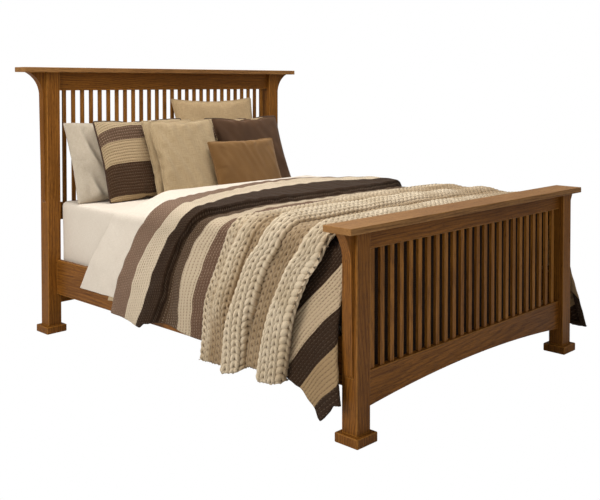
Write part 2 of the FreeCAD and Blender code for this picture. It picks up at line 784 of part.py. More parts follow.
# Each cloth clears what it lies on by the soft gap. Pairs are for the left and the right edge
flat_sheet_size = {
    "thickness": sheet_thickness, "top_thickness": sheet_thickness,
    "top_z": bed_top + soft_gap, "ridge": 0.0, "fold": 0.0, "fold_count": 4,
    "shoulder_x": mattress_width / 2 + soft_gap, "shoulder_round": mattress_edge_round,
    "knee_x": rail_outer_x + cloth_gap, "knee_z": side_rail_top,
    "hem_x": rail_outer_x + sheet_hem_gap,
    "foot_y": (mattress_foot_y + flat_sheet_foot_inset, mattress_foot_y + flat_sheet_foot_inset),
    "head_y": [head_face_y - room for room in flat_sheet_head_room], "lean_shares": (0.0, 0.85),
    "foot_hem": (290.0, 290.0), "head_hem": (282.0, 300.0),
    "foot_flare": (0.0, 0.0), "flare_share": 1.0, "flap": 0.0, "flap_share": 1.0,
    "section_count": 5,
}
quilt_size = {
    "thickness": 16.0, "top_thickness": 38.0,
    "top_z": flat_sheet_size["top_z"] + sheet_thickness + soft_gap,
    "ridge": 7.0, "fold": 16.0, "fold_count": 8,
    "shoulder_x": flat_sheet_size["shoulder_x"] + sheet_thickness + cloth_gap,
    "shoulder_round": flat_sheet_size["shoulder_round"] + sheet_thickness + cloth_gap,
    "knee_x": flat_sheet_size["knee_x"] + sheet_thickness + cloth_gap,
    "knee_z": side_rail_top,
    "hem_x": flat_sheet_size["hem_x"] + sheet_thickness + cloth_gap,
    "foot_y": (foot_back_y + quilt_foot_gap, foot_back_y + quilt_foot_gap),
    "head_y": [head_face_y - room for room in quilt_head_room], "lean_shares": (0.0, 0.72),
    "foot_hem": (72.0, 88.0), "head_hem": (240.0, 256.0),
    "foot_flare": (8.0, 140.0), "flare_share": 0.22, "flap": 18.0, "flap_share": 0.79,
    "section_count": 17,
}
throw_size = {
    "thickness": 26.0, "top_thickness": 30.0,
    "top_z": quilt_size["top_z"] + quilt_size["top_thickness"] + quilt_size["ridge"] + soft_gap,
    "ridge": 26.0, "fold": 20.0, "fold_count": 6,
    "shoulder_x": quilt_size["shoulder_x"] + quilt_size["thickness"] + throw_shoulder_gap,
    "shoulder_round": mattress_edge_round + quilt_size["thickness"] + throw_round_gap,
    "knee_x": quilt_size["knee_x"] + quilt_size["thickness"] + quilt_size["fold"],
    "knee_z": side_rail_top,
    "hem_x": quilt_size["hem_x"] + quilt_size["thickness"] + quilt_size["fold"] + throw_hem_gap,
    "foot_y": [foot_back_y + room for room in throw_foot_room],
    "head_y": [foot_back_y + room + width for room, width in zip(throw_foot_room, throw_width)],
    "lean_shares": (0.26, 0.26),
    "foot_hem": (165.0, 190.0), "head_hem": (130.0, 180.0),
    "foot_flare": (0.0, 90.0), "flare_share": 0.6, "flap": 0.0, "flap_share": 1.0,
    "section_count": 13,
}


# Pillows: closed crowned forms with sides drawn in between the corners
pillow_lean_angle = 15.0
pillow_row_gap = 0.6
pillow_spread_shares = (1.0, 0.9, 0.77, 0.62, 0.45, 0.26)
pillow_row_thickness = {"back": 92.0, "second": 80.0, "third": 68.0, "fourth": 68.0,
                        "front": 92.0}
pillow_sizes = {
    "sleeping_pillow": {"row": "back", "x": -428.0, "width": 650.0,
                        "height": 437.0, "draw": 12.0},
    "tan_euro_pillow": {"row": "back", "x": 297.0, "width": 636.0,
                        "height": 562.0, "draw": 26.0},
    "striped_sham_left": {"row": "second", "x": -322.0, "width": 590.0,
                          "height": 442.0, "draw": 16.0},
    "striped_sham_right": {"row": "second", "x": 448.0, "width": 590.0,
                           "height": 436.0, "draw": 16.0},
    "cream_back_pillow": {"row": "third", "x": -184.0, "width": 340.0,
                          "height": 442.0, "draw": 18.0},
    "brown_pillow": {"row": "third", "x": 412.0, "width": 520.0,
                     "height": 437.0, "draw": 20.0},
    "cream_square_pillow": {"row": "fourth", "x": -140.0, "width": 430.0,
                            "height": 439.0, "draw": 22.0},
    "lumbar_pillow": {"row": "front", "x": 210.0, "width": 500.0,
                      "height": 310.0, "draw": 16.0},
}


def pillow_outline(width, height, draw, y):
    """Four corners joined by arcs that bow inward, in an upright plane."""
    half_w = width / 2
    half_h = height / 2
    corners = [Vector(-half_w, y, -half_h), Vector(half_w, y, -half_h),
               Vector(half_w, y, half_h), Vector(-half_w, y, half_h)]
    middles = [Vector(0, y, draw - half_h), Vector(half_w - draw, y, 0),
               Vector(0, y, half_h - draw), Vector(draw - half_w, y, 0)]
    edges = [Part.Arc(corners[number], middles[number], corners[(number + 1) % 4]).toShape()
             for number in range(4)]
    return Part.Wire(edges)


def pillow_form(size):
    """Two crowned halves joined at the seam, leaning back from the lower seam at the origin."""
    half = pillow_row_thickness[size["row"]] / 2
    wires = [pillow_outline(size["width"] * spread, size["height"] * spread,
                            size["draw"] * spread, -half * math.sqrt(1 - spread ** 2))
             for spread in pillow_spread_shares]
    front = Part.makeLoft(wires, True, False)
    solid = front.fuse(front.mirror(Vector(0, 0, 0), Vector(0, 1, 0)))
    solid.translate(Vector(0, 0, size["height"] / 2))
    solid.rotate(Vector(0, 0, 0), Vector(1, 0, 0), -pillow_lean_angle)
    return solid


def leaned_on(top):
    """The face behind pillows of this height: the slats, the top rail or the cap's edge."""
    if top > head_post_top:
        return head_face_y - cap_front_overhang
    if top > head_post_top - head_top_rail_height:
        return head_y - end_rail_thickness / 2
    return head_y - slat_thickness / 2


def pillow_rows(first_forms):
    """The first row leans on the headboard, and each other row on the one behind it."""
    bounds = [form.optimalBoundingBox() for form in first_forms]
    top = bed_top + soft_gap + max(bound.ZLength for bound in bounds)
    reach = max(bound.YMax for bound in bounds)
    slope = math.cos(math.radians(pillow_lean_angle))
    names = list(pillow_row_thickness)
    rows = {names[0]: leaned_on(top) - soft_gap - reach}
    for behind, row in zip(names, names[1:]):
        together = pillow_row_thickness[behind] + pillow_row_thickness[row]
        rows[row] = rows[behind] - together / 2 / slope - pillow_row_gap
    return rows


def pillows():
    forms = {name: pillow_form(size) for name, size in pillow_sizes.items()}
    rows = pillow_rows([form for name, form in forms.items()
                        if pillow_sizes[name]["row"] == "back"])
    for name, form in forms.items():
        size = pillow_sizes[name]
        rise = bed_top + soft_gap - form.optimalBoundingBox().ZMin
        form.translate(Vector(size["x"], rows[size["row"]], rise))
    return forms


def bedding():
    half_base = mattress_width / 2 - spring_base_inset
    pieces = {
        "spring_base": rounded_block(half_base, mattress_foot_y + spring_base_inset,
                                     mattress_head_y - spring_base_inset, spring_base_bottom,
                                     spring_base_bottom + spring_base_height, spring_base_round),
        "mattress": mattress_shape(0),
        "fitted_sheet": fitted_sheet(),
        "flat_sheet": drape(flat_sheet_size),
        "quilt": quilt(),
        "knit_throw": drape(throw_size),
    }
    pieces.update(pillows())
    return pieces


parts = {}
for group in (head_end, foot_end, side_pieces, leg_pieces, fixings, bedding):
    parts.update(group())

os.makedirs("parts", exist_ok=True)
for name, shape in parts.items():
    shape.exportStep("parts/%s.step" % name)
    solids = shape.Solids
    volume = sum(solid.Volume for solid in solids)
    print("%-22s solids %3d  volume %9.1f cm3  valid %s"
          % (name, len(solids), volume / 1000, shape.isValid()))
print("nodes", len(parts))
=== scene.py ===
import math
import bpy
import numpy as np
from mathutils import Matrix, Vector


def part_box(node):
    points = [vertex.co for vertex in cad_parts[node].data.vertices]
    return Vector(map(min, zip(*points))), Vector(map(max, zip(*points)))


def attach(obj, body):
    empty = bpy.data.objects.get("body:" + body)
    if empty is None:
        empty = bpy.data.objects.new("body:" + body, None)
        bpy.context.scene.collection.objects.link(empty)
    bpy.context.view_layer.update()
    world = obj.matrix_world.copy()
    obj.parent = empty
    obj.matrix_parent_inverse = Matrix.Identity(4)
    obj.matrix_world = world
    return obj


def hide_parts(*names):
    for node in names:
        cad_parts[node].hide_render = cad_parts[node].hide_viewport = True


# A mission bed made up with its bedding. Metres, in the frame of the solids.
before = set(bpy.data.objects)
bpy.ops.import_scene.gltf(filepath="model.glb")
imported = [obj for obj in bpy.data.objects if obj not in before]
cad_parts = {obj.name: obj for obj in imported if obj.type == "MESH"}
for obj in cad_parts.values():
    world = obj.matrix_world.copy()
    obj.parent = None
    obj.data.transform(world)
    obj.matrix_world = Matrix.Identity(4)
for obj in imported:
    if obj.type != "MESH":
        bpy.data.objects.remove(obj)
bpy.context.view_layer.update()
randomSource = np.random.default_rng(7)

# Places that the pieces share, from the solids
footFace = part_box("foot_post_left")[0][1]
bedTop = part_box("fitted_sheet")[1][2]
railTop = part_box("side_rail_left")[1][2]


def setAll(target, values):
    for name, value in values.items():
        setattr(target, name, value)
    return target


def placeObject(name, data):
    made = bpy.data.objects.new(name, data)
    bpy.context.scene.collection.objects.link(made)
    return made


def appliedMesh(carrier):
    # The mesh that an object's modifiers make; the object itself goes
    graph = bpy.context.evaluated_depsgraph_get()
    made = bpy.data.meshes.new_from_object(carrier.evaluated_get(graph))
    bpy.data.objects.remove(carrier)
    return made


# Camera at the photograph's viewing place
def makeCamera():
    view = {"place": (-3.2145, -3.2135, 1.3425), "tilt": 88.543, "turn": -46.348}
    lens = {"lens": 52.45, "shift_x": -0.0315, "shift_y": -0.2413, "clip_end": 60}
    camera = placeObject("camera", setAll(bpy.data.cameras.new("camera"), lens))
    camera.location = view["place"]
    camera.rotation_euler = (math.radians(view["tilt"]), 0, math.radians(view["turn"]))
    bpy.context.scene.camera = camera


# Small helpers for node trees
def tone(red, green, blue):
    # A screen colour from 0 to 255 as linear light
    parts = [part / 255 for part in (red, green, blue)]
    linear = [part / 12.92 if part < 0.04045 else ((part + 0.055) / 1.055) ** 2.4
              for part in parts]
    return (*linear, 1.0)


def feed(tree, node, inputs):
    # An input is linked where its value is a socket, and a constant elsewhere
    for name, value in inputs.items():
        if isinstance(value, bpy.types.NodeSocket):
            tree.links.new(value, node.inputs[name])
        else:
            node.inputs[name].default_value = value
    return node


def addNode(tree, kind, inputs=None, **settings):
    return feed(tree, setAll(tree.nodes.new(kind), settings), inputs or {})


def compute(tree, operation, *values, clamp=False):
    made = addNode(tree, "ShaderNodeMath", dict(enumerate(values)), operation=operation)
    made.use_clamp = clamp
    return made.outputs[0]


def times(tree, *values, clamp=False):
    return compute(tree, "MULTIPLY", *values, clamp=clamp)


def timesPlus(tree, *values, clamp=False):
    return compute(tree, "MULTIPLY_ADD", *values, clamp=clamp)


def combine(tree, operation, *values):
    made = addNode(tree, "ShaderNodeVectorMath", dict(enumerate(values)), operation=operation)
    return made.outputs["Value" if operation == "LENGTH" else "Vector"]


def mixColours(tree, factor, first, second, kind="MIX"):
    inputs = {0: factor, 6: first, 7: second}
    return addNode(tree, "ShaderNodeMix", inputs, data_type="RGBA", blend_type=kind).outputs[2]


def splitVector(tree, vector):
    return addNode(tree, "ShaderNodeSeparateXYZ", {"Vector": vector}).outputs


def joinVector(tree, *parts):
    return addNode(tree, "ShaderNodeCombineXYZ", dict(zip("XYZ", parts))).outputs[0]


def objectPlace(tree):
    return tree.nodes.new("ShaderNodeTexCoord").outputs["Object"]


def clothPlace(tree):
    return addNode(tree, "ShaderNodeUVMap", uv_map="cloth").outputs[0]


def remap(tree, value, low, high, toLow=0.0, toHigh=1.0):
    inputs = {"Value": value, "From Min": low, "From Max": high, "To Min": toLow, "To Max": toHigh}
    return addNode(tree, "ShaderNodeMapRange", inputs, interpolation_type="SMOOTHSTEP").outputs[0]


def noise(tree, vector, scale, detail=2.0):
    inputs = {"Vector": vector, "Scale": scale, "Detail": detail}
    return addNode(tree, "ShaderNodeTexNoise", inputs).outputs[0]


def stretchedNoise(tree, place, stretch, detail=2.0):
    return noise(tree, combine(tree, "MULTIPLY", place, stretch), 1.0, detail)


def ribs(tree, angle):
    return compute(tree, "ABSOLUTE", compute(tree, "SINE", angle))


def newGroup(name, inputs, outputs, kind="ShaderNodeTree"):
    group = bpy.data.node_groups.new(name, kind)
    for direction, sockets in (("INPUT", inputs), ("OUTPUT", outputs)):
        for label, value in sockets.items():
            group.interface.new_socket(name=label, in_out=direction,
                                       socket_type="NodeSocket" + value)
    return group, group.nodes.new("NodeGroupInput").outputs, group.nodes.new("NodeGroupOutput")


def useGroup(tree, group, inputs):
    return addNode(tree, "ShaderNodeGroup", inputs, node_tree=group)


def newMaterial(name, roughness=0.5, sheen=0.0, coat=0.0, metallic=0.0, specular=0.14):
    material = bpy.data.materials.new(name)
    material.use_nodes = True
    shader = material.node_tree.nodes["Principled BSDF"]
    feed(material.node_tree, shader,
         {"Roughness": roughness, "Sheen Weight": sheen, "Coat Weight": coat,
          "Metallic": metallic, "Specular IOR Level": specular})
    return material, material.node_tree, shader


def cover(tree, shader, colour, height, strength, distance):
    # A material's colour, and its relief of this depth
    bump = addNode(tree, "ShaderNodeBump",
                   {"Height": height, "Strength": strength, "Distance": distance})
    feed(tree, shader, {"Base Color": colour, "Normal": bump.outputs[0]})


# Oak grain: growth rings round a leaning axis, open pores and slow changes of tone
def makeGrainGroup():
    look = {"leanX": 0.045, "leanY": 0.03, "waver": 0.05, "rings": 760.0, "late": 0.30,
            "fibre": 0.48, "pores": 0.55, "patches": 0.32, "patchTone": tone(120, 70, 34)}
    tree, source, sink = newGroup("oakGrain",
                                  {"Vector": "Vector", "Light": "Color", "Dark": "Color"},
                                  {"Color": "Color", "Roughness": "Float", "Height": "Float"})
    place = source["Vector"]
    slow = stretchedNoise(tree, place, (9.0, 9.0, 1.3))
    x, y, z = splitVector(tree, place)
    leaning = joinVector(tree, timesPlus(tree, z, look["leanX"], x),
                         timesPlus(tree, z, look["leanY"], y))
    radius = combine(tree, "LENGTH", leaning)
    wavy = timesPlus(tree, slow, look["waver"], radius)
    rings = compute(tree, "SINE", times(tree, wavy, look["rings"]))
    fibre = stretchedNoise(tree, place, (230.0, 230.0, 7.0), 3.0)
    pores = remap(tree, stretchedNoise(tree, place, (700.0, 700.0, 34.0), 1.0), 0.56, 0.68)
    patches = stretchedNoise(tree, place, (5.0, 5.0, 1.1), 3.0)
    grain = timesPlus(tree, remap(tree, rings, -0.2, 1.0), look["late"],
                      times(tree, remap(tree, fibre, 0.3, 0.75), look["fibre"]))
    body = mixColours(tree, grain, source["Light"], source["Dark"])
    shaded = mixColours(tree, times(tree, pores, look["pores"]), body, source["Dark"], "MULTIPLY")
    varied = mixColours(tree, remap(tree, patches, 0.35, 0.7, 0.0, look["patches"]), shaded,
                        look["patchTone"], "MULTIPLY")
    height = compute(tree, "SUBTRACT", times(tree, fibre, 0.4), times(tree, pores, 0.6))
    feed(tree, sink, {"Color": varied, "Roughness": timesPlus(tree, fibre, 0.22, 0.34),
                      "Height": height})
    return tree


# Painted highlight along the edges: a mask from the second smallest distance to the faces of a
# piece's box
def makeEdgeGroup():
    edgeHighlight = {"from": 0.0035, "to": 0.0085, "waver": 0.006}
    tree, source, sink = newGroup("paintedEdgeHighlight",
                                  {"Vector": "Vector", "Centre": "Vector", "Half": "Vector"},
                                  {"Mask": "Float"})
    away = combine(tree, "ABSOLUTE", combine(tree, "SUBTRACT", source["Vector"], source["Centre"]))
    x, y, z = splitVector(tree, combine(tree, "SUBTRACT", source["Half"], away))
    low = compute(tree, "MINIMUM", x, y)
    high = compute(tree, "MAXIMUM", x, y)
    second = compute(tree, "MAXIMUM", low, compute(tree, "MINIMUM", high, z))
    uneven = timesPlus(tree, noise(tree, source["Vector"], 60.0), edgeHighlight["waver"], second)
    feed(tree, sink, {"Mask": remap(tree, uneven, edgeHighlight["from"], edgeHighlight["to"], 1.0, 0.0)})
    return tree


grainGroup = makeGrainGroup()
edgeGroup = makeEdgeGroup()


def alongGrain(tree, place, axis):
    # The grain runs along Z in the group, so the piece's long axis is put there
    x, y, z = splitVector(tree, place)
    return joinVector(tree, *{"X": (y, z, x), "Y": (z, x, y), "Z": (x, y, z)}[axis])


def dressWood(node, axis, light, dark, pitch=None, edgeHighlight=0.45):
    material, tree, shader = newMaterial("wood_" + node, coat=0.03, specular=0.16)
    place = objectPlace(tree)
    low, high = (Vector(corner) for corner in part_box(node))
    shift = Vector(randomSource.uniform(0.03, 0.09, 3)) + Vector((0, 0, 3 * randomSource.random()))
    moved = combine(tree, "ADD", alongGrain(tree, place, axis), shift)
    if pitch:
        # Each slat is cut from another board
        away = compute(tree, "SUBTRACT", splitVector(tree, place)["X"], low.x)
        number = compute(tree, "FLOOR", compute(tree, "DIVIDE", away, pitch))
        chance = addNode(tree, "ShaderNodeTexWhiteNoise", {"W": number},
                         noise_dimensions="1D").outputs["Color"]
        moved = combine(tree, "ADD", moved, combine(tree, "MULTIPLY", chance, (0.2, 0.2, 4.0)))
    grain = useGroup(tree, grainGroup, {"Vector": moved, "Light": light, "Dark": dark}).outputs
    edges = useGroup(tree, edgeGroup, {"Vector": place, "Centre": (low + high) / 2,
                                       "Half": (high - low) / 2}).outputs
    # Painted highlight: the colour turns lighter along the piece's edges
    highlit = mixColours(tree, times(tree, edges["Mask"], edgeHighlight), grain["Color"], tone(176, 124, 58))
    feed(tree, shader, {"Roughness": grain["Roughness"]})
    cover(tree, shader, highlit, grain["Height"], 0.35, 0.0006)
    dress(material, node)


def makeMetal(name, colour, roughness):
    material, tree, shader = newMaterial(name, roughness, metallic=1.0, specular=0.5)
    stain = noise(tree, objectPlace(tree), 220.0, 4.0)
    feed(tree, shader,
         {"Base Color": mixColours(tree, stain, colour, tone(110, 104, 92), "MULTIPLY"),
          "Roughness": remap(tree, stain, 0.3, 0.7, roughness, roughness + 0.2)})
    return material


def makePlastic():
    material, tree, shader = newMaterial("mouldedPlastic", 0.55)
    cover(tree, shader, tone(34, 33, 32), noise(tree, objectPlace(tree), 900.0), 0.2, 0.0003)
    return material


def dress(material, *nodes):
    for node in nodes:
        slots = bpy.data.objects[node].data.materials
        if not slots:
            slots.append(material)
        for index in range(len(slots)):
            slots[index] = material


def dressFrame():
    # Oak and plain are the wood's own stains; the caps' lighter, paler tone is painted reflection,
    # and the slats' lighter tone is painted light on their lit faces
    woodTones = {"oak": (tone(150, 96, 34), tone(74, 39, 8)),
              "cap": (tone(172, 126, 74), tone(98, 62, 28)),
              "slat": (tone(170, 113, 44), tone(95, 56, 17)),
              "plain": (tone(205, 172, 122), tone(168, 128, 80))}
    # The caps get less of the painted edge highlight
    capEdgeHighlight = 0.1
    slats = {"head_slats": 27, "foot_slats": 24}
    gapShare = 0.45  # of the slats' pitch
    lengthwise = {"X": ["head_cap", "head_top_rail", "head_middle_rail", "head_bottom_rail",
                        "foot_cap", "foot_top_rail", "foot_bottom_rail"],
                  "Y": ["side_rail_left", "side_rail_right"],
                  "Z": [end + part + side for end in ("head_", "foot_")
                        for part in ("post_", "corbel_", "block_") for side in ("left", "right")]}
    for axis, nodes in lengthwise.items():
        for node in nodes:
            if node.endswith("cap"):
                dressWood(node, axis, *woodTones["cap"], edgeHighlight=capEdgeHighlight)
            else:
                dressWood(node, axis, *woodTones["oak"])
    for node, count in slats.items():
        low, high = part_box(node)
        pitch = (high[0] - low[0]) / (count - gapShare)
        dressWood(node, "Z", *woodTones["slat"], pitch)
    plain = {"Y": ["cleat_left", "cleat_right"],
             "X": ["cross_slat_%d" % number for number in range(1, 6)],
             "Z": ["centre_leg_1", "centre_leg_2", "joint_dowels"]}
    for axis, nodes in plain.items():
        for node in nodes:
            dressWood(node, axis, *woodTones["plain"])
    dress(makeMetal("zincSteel", tone(196, 196, 198), 0.32), "cleat_screws",
          "cross_slat_screws", "rail_hook_plates", "post_hook_plates", "hook_plate_screws",
          "leg_screws", "block_screws", "leveller_stem_1", "leveller_stem_2")
    dress(makeMetal("turnedBrass", tone(214, 176, 104), 0.28), "leveller_inserts")
    dress(makePlastic(), "leveller_pad_1", "leveller_pad_2")


# Cloth as a grid of points, with its own flat coordinates in metres
def smooth(value, low, high):
    ratio = np.clip((value - low) / (high - low), 0, 1)
    return ratio * ratio * (3 - 2 * ratio)


def ripple(first, second, reach, seed, count=7):
    # Slow waves of about this reach, for wrinkles that repeat nowhere
    source = np.random.default_rng(seed)
    total = np.zeros(np.broadcast(first, second).shape)
    for _ in range(count):
        angle = source.uniform(0, 2 * math.pi)
        wave = 2 * math.pi / (reach * source.uniform(0.7, 1.6))
        phase = source.uniform(0, 2 * math.pi)
        total += np.sin(wave * (first * math.cos(angle) + second * math.sin(angle)) + phase)
    return total / math.sqrt(count)


def unit(vectors):
    return vectors / np.maximum(np.linalg.norm(vectors, axis=-1, keepdims=True), 1e-9)


def gridNormals(points):
    return unit(np.cross(np.gradient(points, axis=0), np.gradient(points, axis=1)))


def rollBorder(points, flat, radius, hem=0.02):
    # Turns the first and last rows and columns round to the inner face
    for axis, end in ((0, 0), (0, -1), (1, 0), (1, -1)):
        inner = 1 if end == 0 else -2
        edge, flatEdge = np.take(points, end, axis), np.take(flat, end, axis)
        outward = unit(edge - np.take(points, inner, axis))
        flatOut = unit(flatEdge - np.take(flat, inner, axis))
        normal = np.take(gridNormals(points), end, axis)
        number = np.arange(len(edge))
        taper = np.minimum(1, np.minimum(number, number[::-1]) / 3)[:, None]
        turned = []
        for step in range(1, 5):
            angle = step * math.pi / 4
            place = edge + taper * radius * (outward * math.sin(angle)
                                             - normal * (1 - math.cos(angle)))
            turned.append((place, flatEdge + flatOut * radius * angle))
        turned.append((turned[-1][0] - outward * taper * hem,
                       flatEdge + flatOut * (radius * math.pi + hem)))
        order = slice(None, None, -1 if end == 0 else 1)
        extra, extraFlat = (np.stack(part, axis) for part in zip(*turned[order]))
        points = np.concatenate((points, extra)[order], axis)
        flat = np.concatenate((flat, extraFlat)[order], axis)
    return points, flat


def gridQuads(index):
    corners = [index[:-1, :-1], index[1:, :-1], index[1:, 1:], index[:-1, 1:]]
    return np.stack(corners, axis=-1).reshape(-1, 4)


def clothMesh(name, places, faces, flat):
    mesh = bpy.data.meshes.new(name)
    mesh.from_pydata(places.tolist(), [], faces.tolist())
    layer = mesh.uv_layers.new(name="cloth")
    layer.data.foreach_set("uv", flat[faces.ravel()].astype(np.float32).ravel())
    return mesh


def addPiece(name, mesh, material, nodes=()):
    piece = placeObject(name, mesh)
    piece.data.materials.append(material)
    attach(piece, "root")
    if nodes:
        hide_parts(*nodes)
    return piece


# A cloth from a grid of places, raised along its normals, with its border rolled in
def layCloth(name, place, flat, material, nodes=(), raised=(), edge=0, shadedHollow=None):
    x, y, z = place
    points = np.stack(np.broadcast_arrays(x, footFace + y, z), axis=-1)
    flat = np.stack(np.broadcast_arrays(*flat), axis=-1)
    for height in raised:
        points += gridNormals(points) * height[..., None]
    if edge:
        points, flat = rollBorder(points, flat, edge)
    index = np.arange(points[..., 0].size).reshape(points.shape[:2])
    mesh = clothMesh(name, points.reshape(-1, 3), gridQuads(index), flat.reshape(-1, 2))
    # An amount of painted shade for each point, kept as an attribute
    if shadedHollow is not None:
        added = (len(index) - len(shadedHollow)) // 2
        data = mesh.attributes.new("shadedHollow", "FLOAT", "POINT").data
        values = np.pad(shadedHollow, added, mode="edge")
        data.foreach_set("value", values.astype(np.float32).ravel())
    mesh.shade_smooth()
    return addPiece(name, mesh, material, nodes)


# A path across the bed for each column: up the left side, over the top, down the right side
def crossPaths(size, hems, swings, lift):
    sideCount, arcCount, topCount = size["counts"]
    radius = size["round"] + lift
    top = size["topZ"] + lift
    width = size["shoulderX"] + lift - radius
    arcZ = top - radius
    paths = []
    for side in (-1, 1):
        share = np.linspace(0, 1, sideCount, endpoint=False)[:, None]
        z = hems[side] + (arcZ - hems[side]) * share
        knee = smooth(arcZ - z, 0, arcZ - railTop - 0.01)
        fall = ((arcZ - z) / (arcZ - hems[side])) ** 1.3
        x = size["shoulderX"] + lift + (size["kneeX"] - size["shoulderX"]) * knee
        turn = np.linspace(0, math.pi / 2, arcCount, endpoint=False)[:, None]
        arcX = size["shoulderX"] + lift - radius * (1 - np.cos(turn))
        paths.append((np.concatenate([x + swings[side] * fall, arcX]),
                      np.concatenate([z, arcZ + radius * np.sin(turn)])))
    topX = np.linspace(-1, 1, topCount)[:, None] * width
    left, right = paths
    x = np.concatenate([-left[0], topX, right[0][::-1]])
    z = np.concatenate([left[1], np.broadcast_to(top, topX.shape), right[1][::-1]])
    # Length along the path, counted from the middle of the bed
    step = np.hypot(np.diff(x, axis=0), np.diff(z, axis=0))
    length = np.concatenate([np.zeros((1, x.shape[1])), np.cumsum(step, axis=0)])
    return x, z, length - length[len(x) // 2]


# Fabric that is woven, with threads both ways, from a piece's flat coordinates
def makeWeaveGroup():
    tree, source, sink = newGroup("plainWeave", {"Vector": "Vector", "Threads": "Float"},
                                  {"Height": "Float", "Tone": "Float"})
    scaled = addNode(tree, "ShaderNodeVectorMath",
                     {0: source["Vector"], "Scale": source["Threads"]},
                     operation="SCALE").outputs[0]
    x, y, _ = splitVector(tree, scaled)
    crossings = [ribs(tree, times(tree, part, 3.14)) for part in (x, y)]
    threads = compute(tree, "ADD", stretchedNoise(tree, scaled, (0.05, 0.9, 1.0)),
                      stretchedNoise(tree, scaled, (0.9, 0.05, 1.0)))
    feed(tree, sink, {"Height": timesPlus(tree, threads, 0.8, times(tree, *crossings)),
                      "Tone": remap(tree, threads, 0.7, 1.3)})
    return tree


weaveGroup = makeWeaveGroup()


def makeFabric(name, light, dark, threads, sheen=0.15, relief=0.0005):
    material, tree, shader = newMaterial(name, 0.86, sheen)
    flat = clothPlace(tree)
    weave = useGroup(tree, weaveGroup, {"Vector": flat, "Threads": threads}).outputs
    cloud = remap(tree, noise(tree, flat, 7.0, 3.0), 0.35, 0.7, 0.0, 0.3)
    base = mixColours(tree, weave["Tone"], dark, light)
    cover(tree, shader, mixColours(tree, cloud, base, dark), weave["Height"], 0.5, relief)
    return material


def makeVelvet(name, light, dark):
    # Short pile: painted sheen, lighter where it is seen at a slant
    material, tree, shader = newMaterial(name, 0.8, 0.12)
    flat = clothPlace(tree)
    facing = addNode(tree, "ShaderNodeLayerWeight", {"Blend": 0.4}).outputs["Facing"]
    brushed = noise(tree, flat, 11.0, 4.0)
    amount = timesPlus(tree, brushed, 0.45, times(tree, facing, 0.8), clamp=True)
    cover(tree, shader, mixColours(tree, amount, dark, light), noise(tree, flat, 900.0, 1.0),
          0.4, 0.0006)
    return material


# Quilted stripes: rows of short stitches beside each other, with puckers between
def makeQuilted(name, stripes, low, high):
    size = {"row": 0.0145, "stitch": 0.0135, "stagger": 1.7, "wander": 0.006, "relief": 0.0035}
    tones = {"paleThread": tone(182, 156, 130), "darkThread": tone(112, 84, 58),
             "fuzz": tone(140, 118, 96)}
    material, tree, shader = newMaterial(name, 0.9, 0.04)
    flat = clothPlace(tree)
    across, along, _ = splitVector(tree, flat)
    wander = timesPlus(tree, noise(tree, flat, 14.0), size["wander"], along)
    share = addNode(tree, "ShaderNodeMapRange",
                    {"Value": wander, "From Min": low, "From Max": high}).outputs[0]
    ramp = addNode(tree, "ShaderNodeValToRGB", {"Fac": share})
    ramp.color_ramp.interpolation = "CONSTANT"
    stops = ramp.color_ramp.elements
    for number, (start, colour) in enumerate(stripes):
        at = max(0.0, (start - low) / (high - low))
        stop = stops[number] if number < 2 else stops.new(at)
        stop.position = at
        stop.color = colour
    wave = ribs(tree, times(tree, wander, math.pi / size["row"]))
    rows = compute(tree, "ADD", compute(tree, "DIVIDE", wander, size["row"]), 0.5)
    stagger = timesPlus(tree, compute(tree, "FLOOR", rows), size["stagger"],
                        times(tree, across, 2 * math.pi / size["stitch"]))
    dash = remap(tree, compute(tree, "SINE", stagger), -0.3, 0.3)
    groove = compute(tree, "SUBTRACT", 1.0, remap(tree, wave, 0.12, 0.5))
    stitch = times(tree, dash, groove)
    speck = remap(tree, stretchedNoise(tree, flat, (150.0, 260.0, 1.0)), 0.52, 0.66)
    uneven = remap(tree, noise(tree, flat, 5.0), 0.3, 0.6, 0.5, 1.0)
    marks = times(tree, uneven, timesPlus(tree, speck, 0.35, stitch), clamp=True)
    base = ramp.outputs["Color"]
    light = addNode(tree, "ShaderNodeRGBToBW", {"Color": base}).outputs[0]
    amount = times(tree, marks, remap(tree, light, 0.02, 0.07, 0.18, 0.8))
    thread = mixColours(tree, remap(tree, light, 0.1, 0.3), tones["paleThread"],
                        tones["darkThread"])
    stitched = mixColours(tree, amount, base, thread)
    fuzz = remap(tree, noise(tree, flat, 420.0), 0.4, 0.7, 0.0, 0.06)
    puff = timesPlus(tree, stitch, -0.5, compute(tree, "POWER", wave, 0.6))
    cover(tree, shader, mixColours(tree, fuzz, stitched, tones["fuzz"]),
          timesPlus(tree, speck, -0.25, puff), 0.75, size["relief"])
    return material


darkBrown = tone(45, 28, 14)
mauveBrown = tone(120, 95, 78)
greyBrown = tone(78, 59, 42)
stripeBeige = tone(198, 176, 142)
stripeCream = tone(205, 188, 163)
# The foot end's beige and cream are darker copies of the stripes: painted shade, as less light
# reaches the foot
shadedFootBeige = tone(158, 132, 97)
shadedFootCream = tone(190, 168, 138)
flapMauve = tone(97, 72, 56)
flapCream = tone(191, 173, 147)


# Places across the bed: 0 at the left hem, 5 and 9 at the shoulders, 11 at the right hem
def stationsOf(x, z, hems, size):
    def onSide(hem, heights, stations):
        columns = zip(z.T, np.broadcast_to(hem, z.shape)[0])
        return np.array([np.interp(column, [low, *heights, size["topZ"]], stations)
                         for column, low in columns]).T

    half = size["topHalf"]
    left = onSide(hems[-1], [0.38, 0.48, 0.62, 0.70], range(6))
    right = onSide(hems[1], [0.62], [11, 10, 9])
    middle = np.interp(x, [-half, -0.43, 0, 0.4, half], [5, 6, 7, 8, 9])
    return np.where(x < -half, left, np.where(x > half, right, middle))


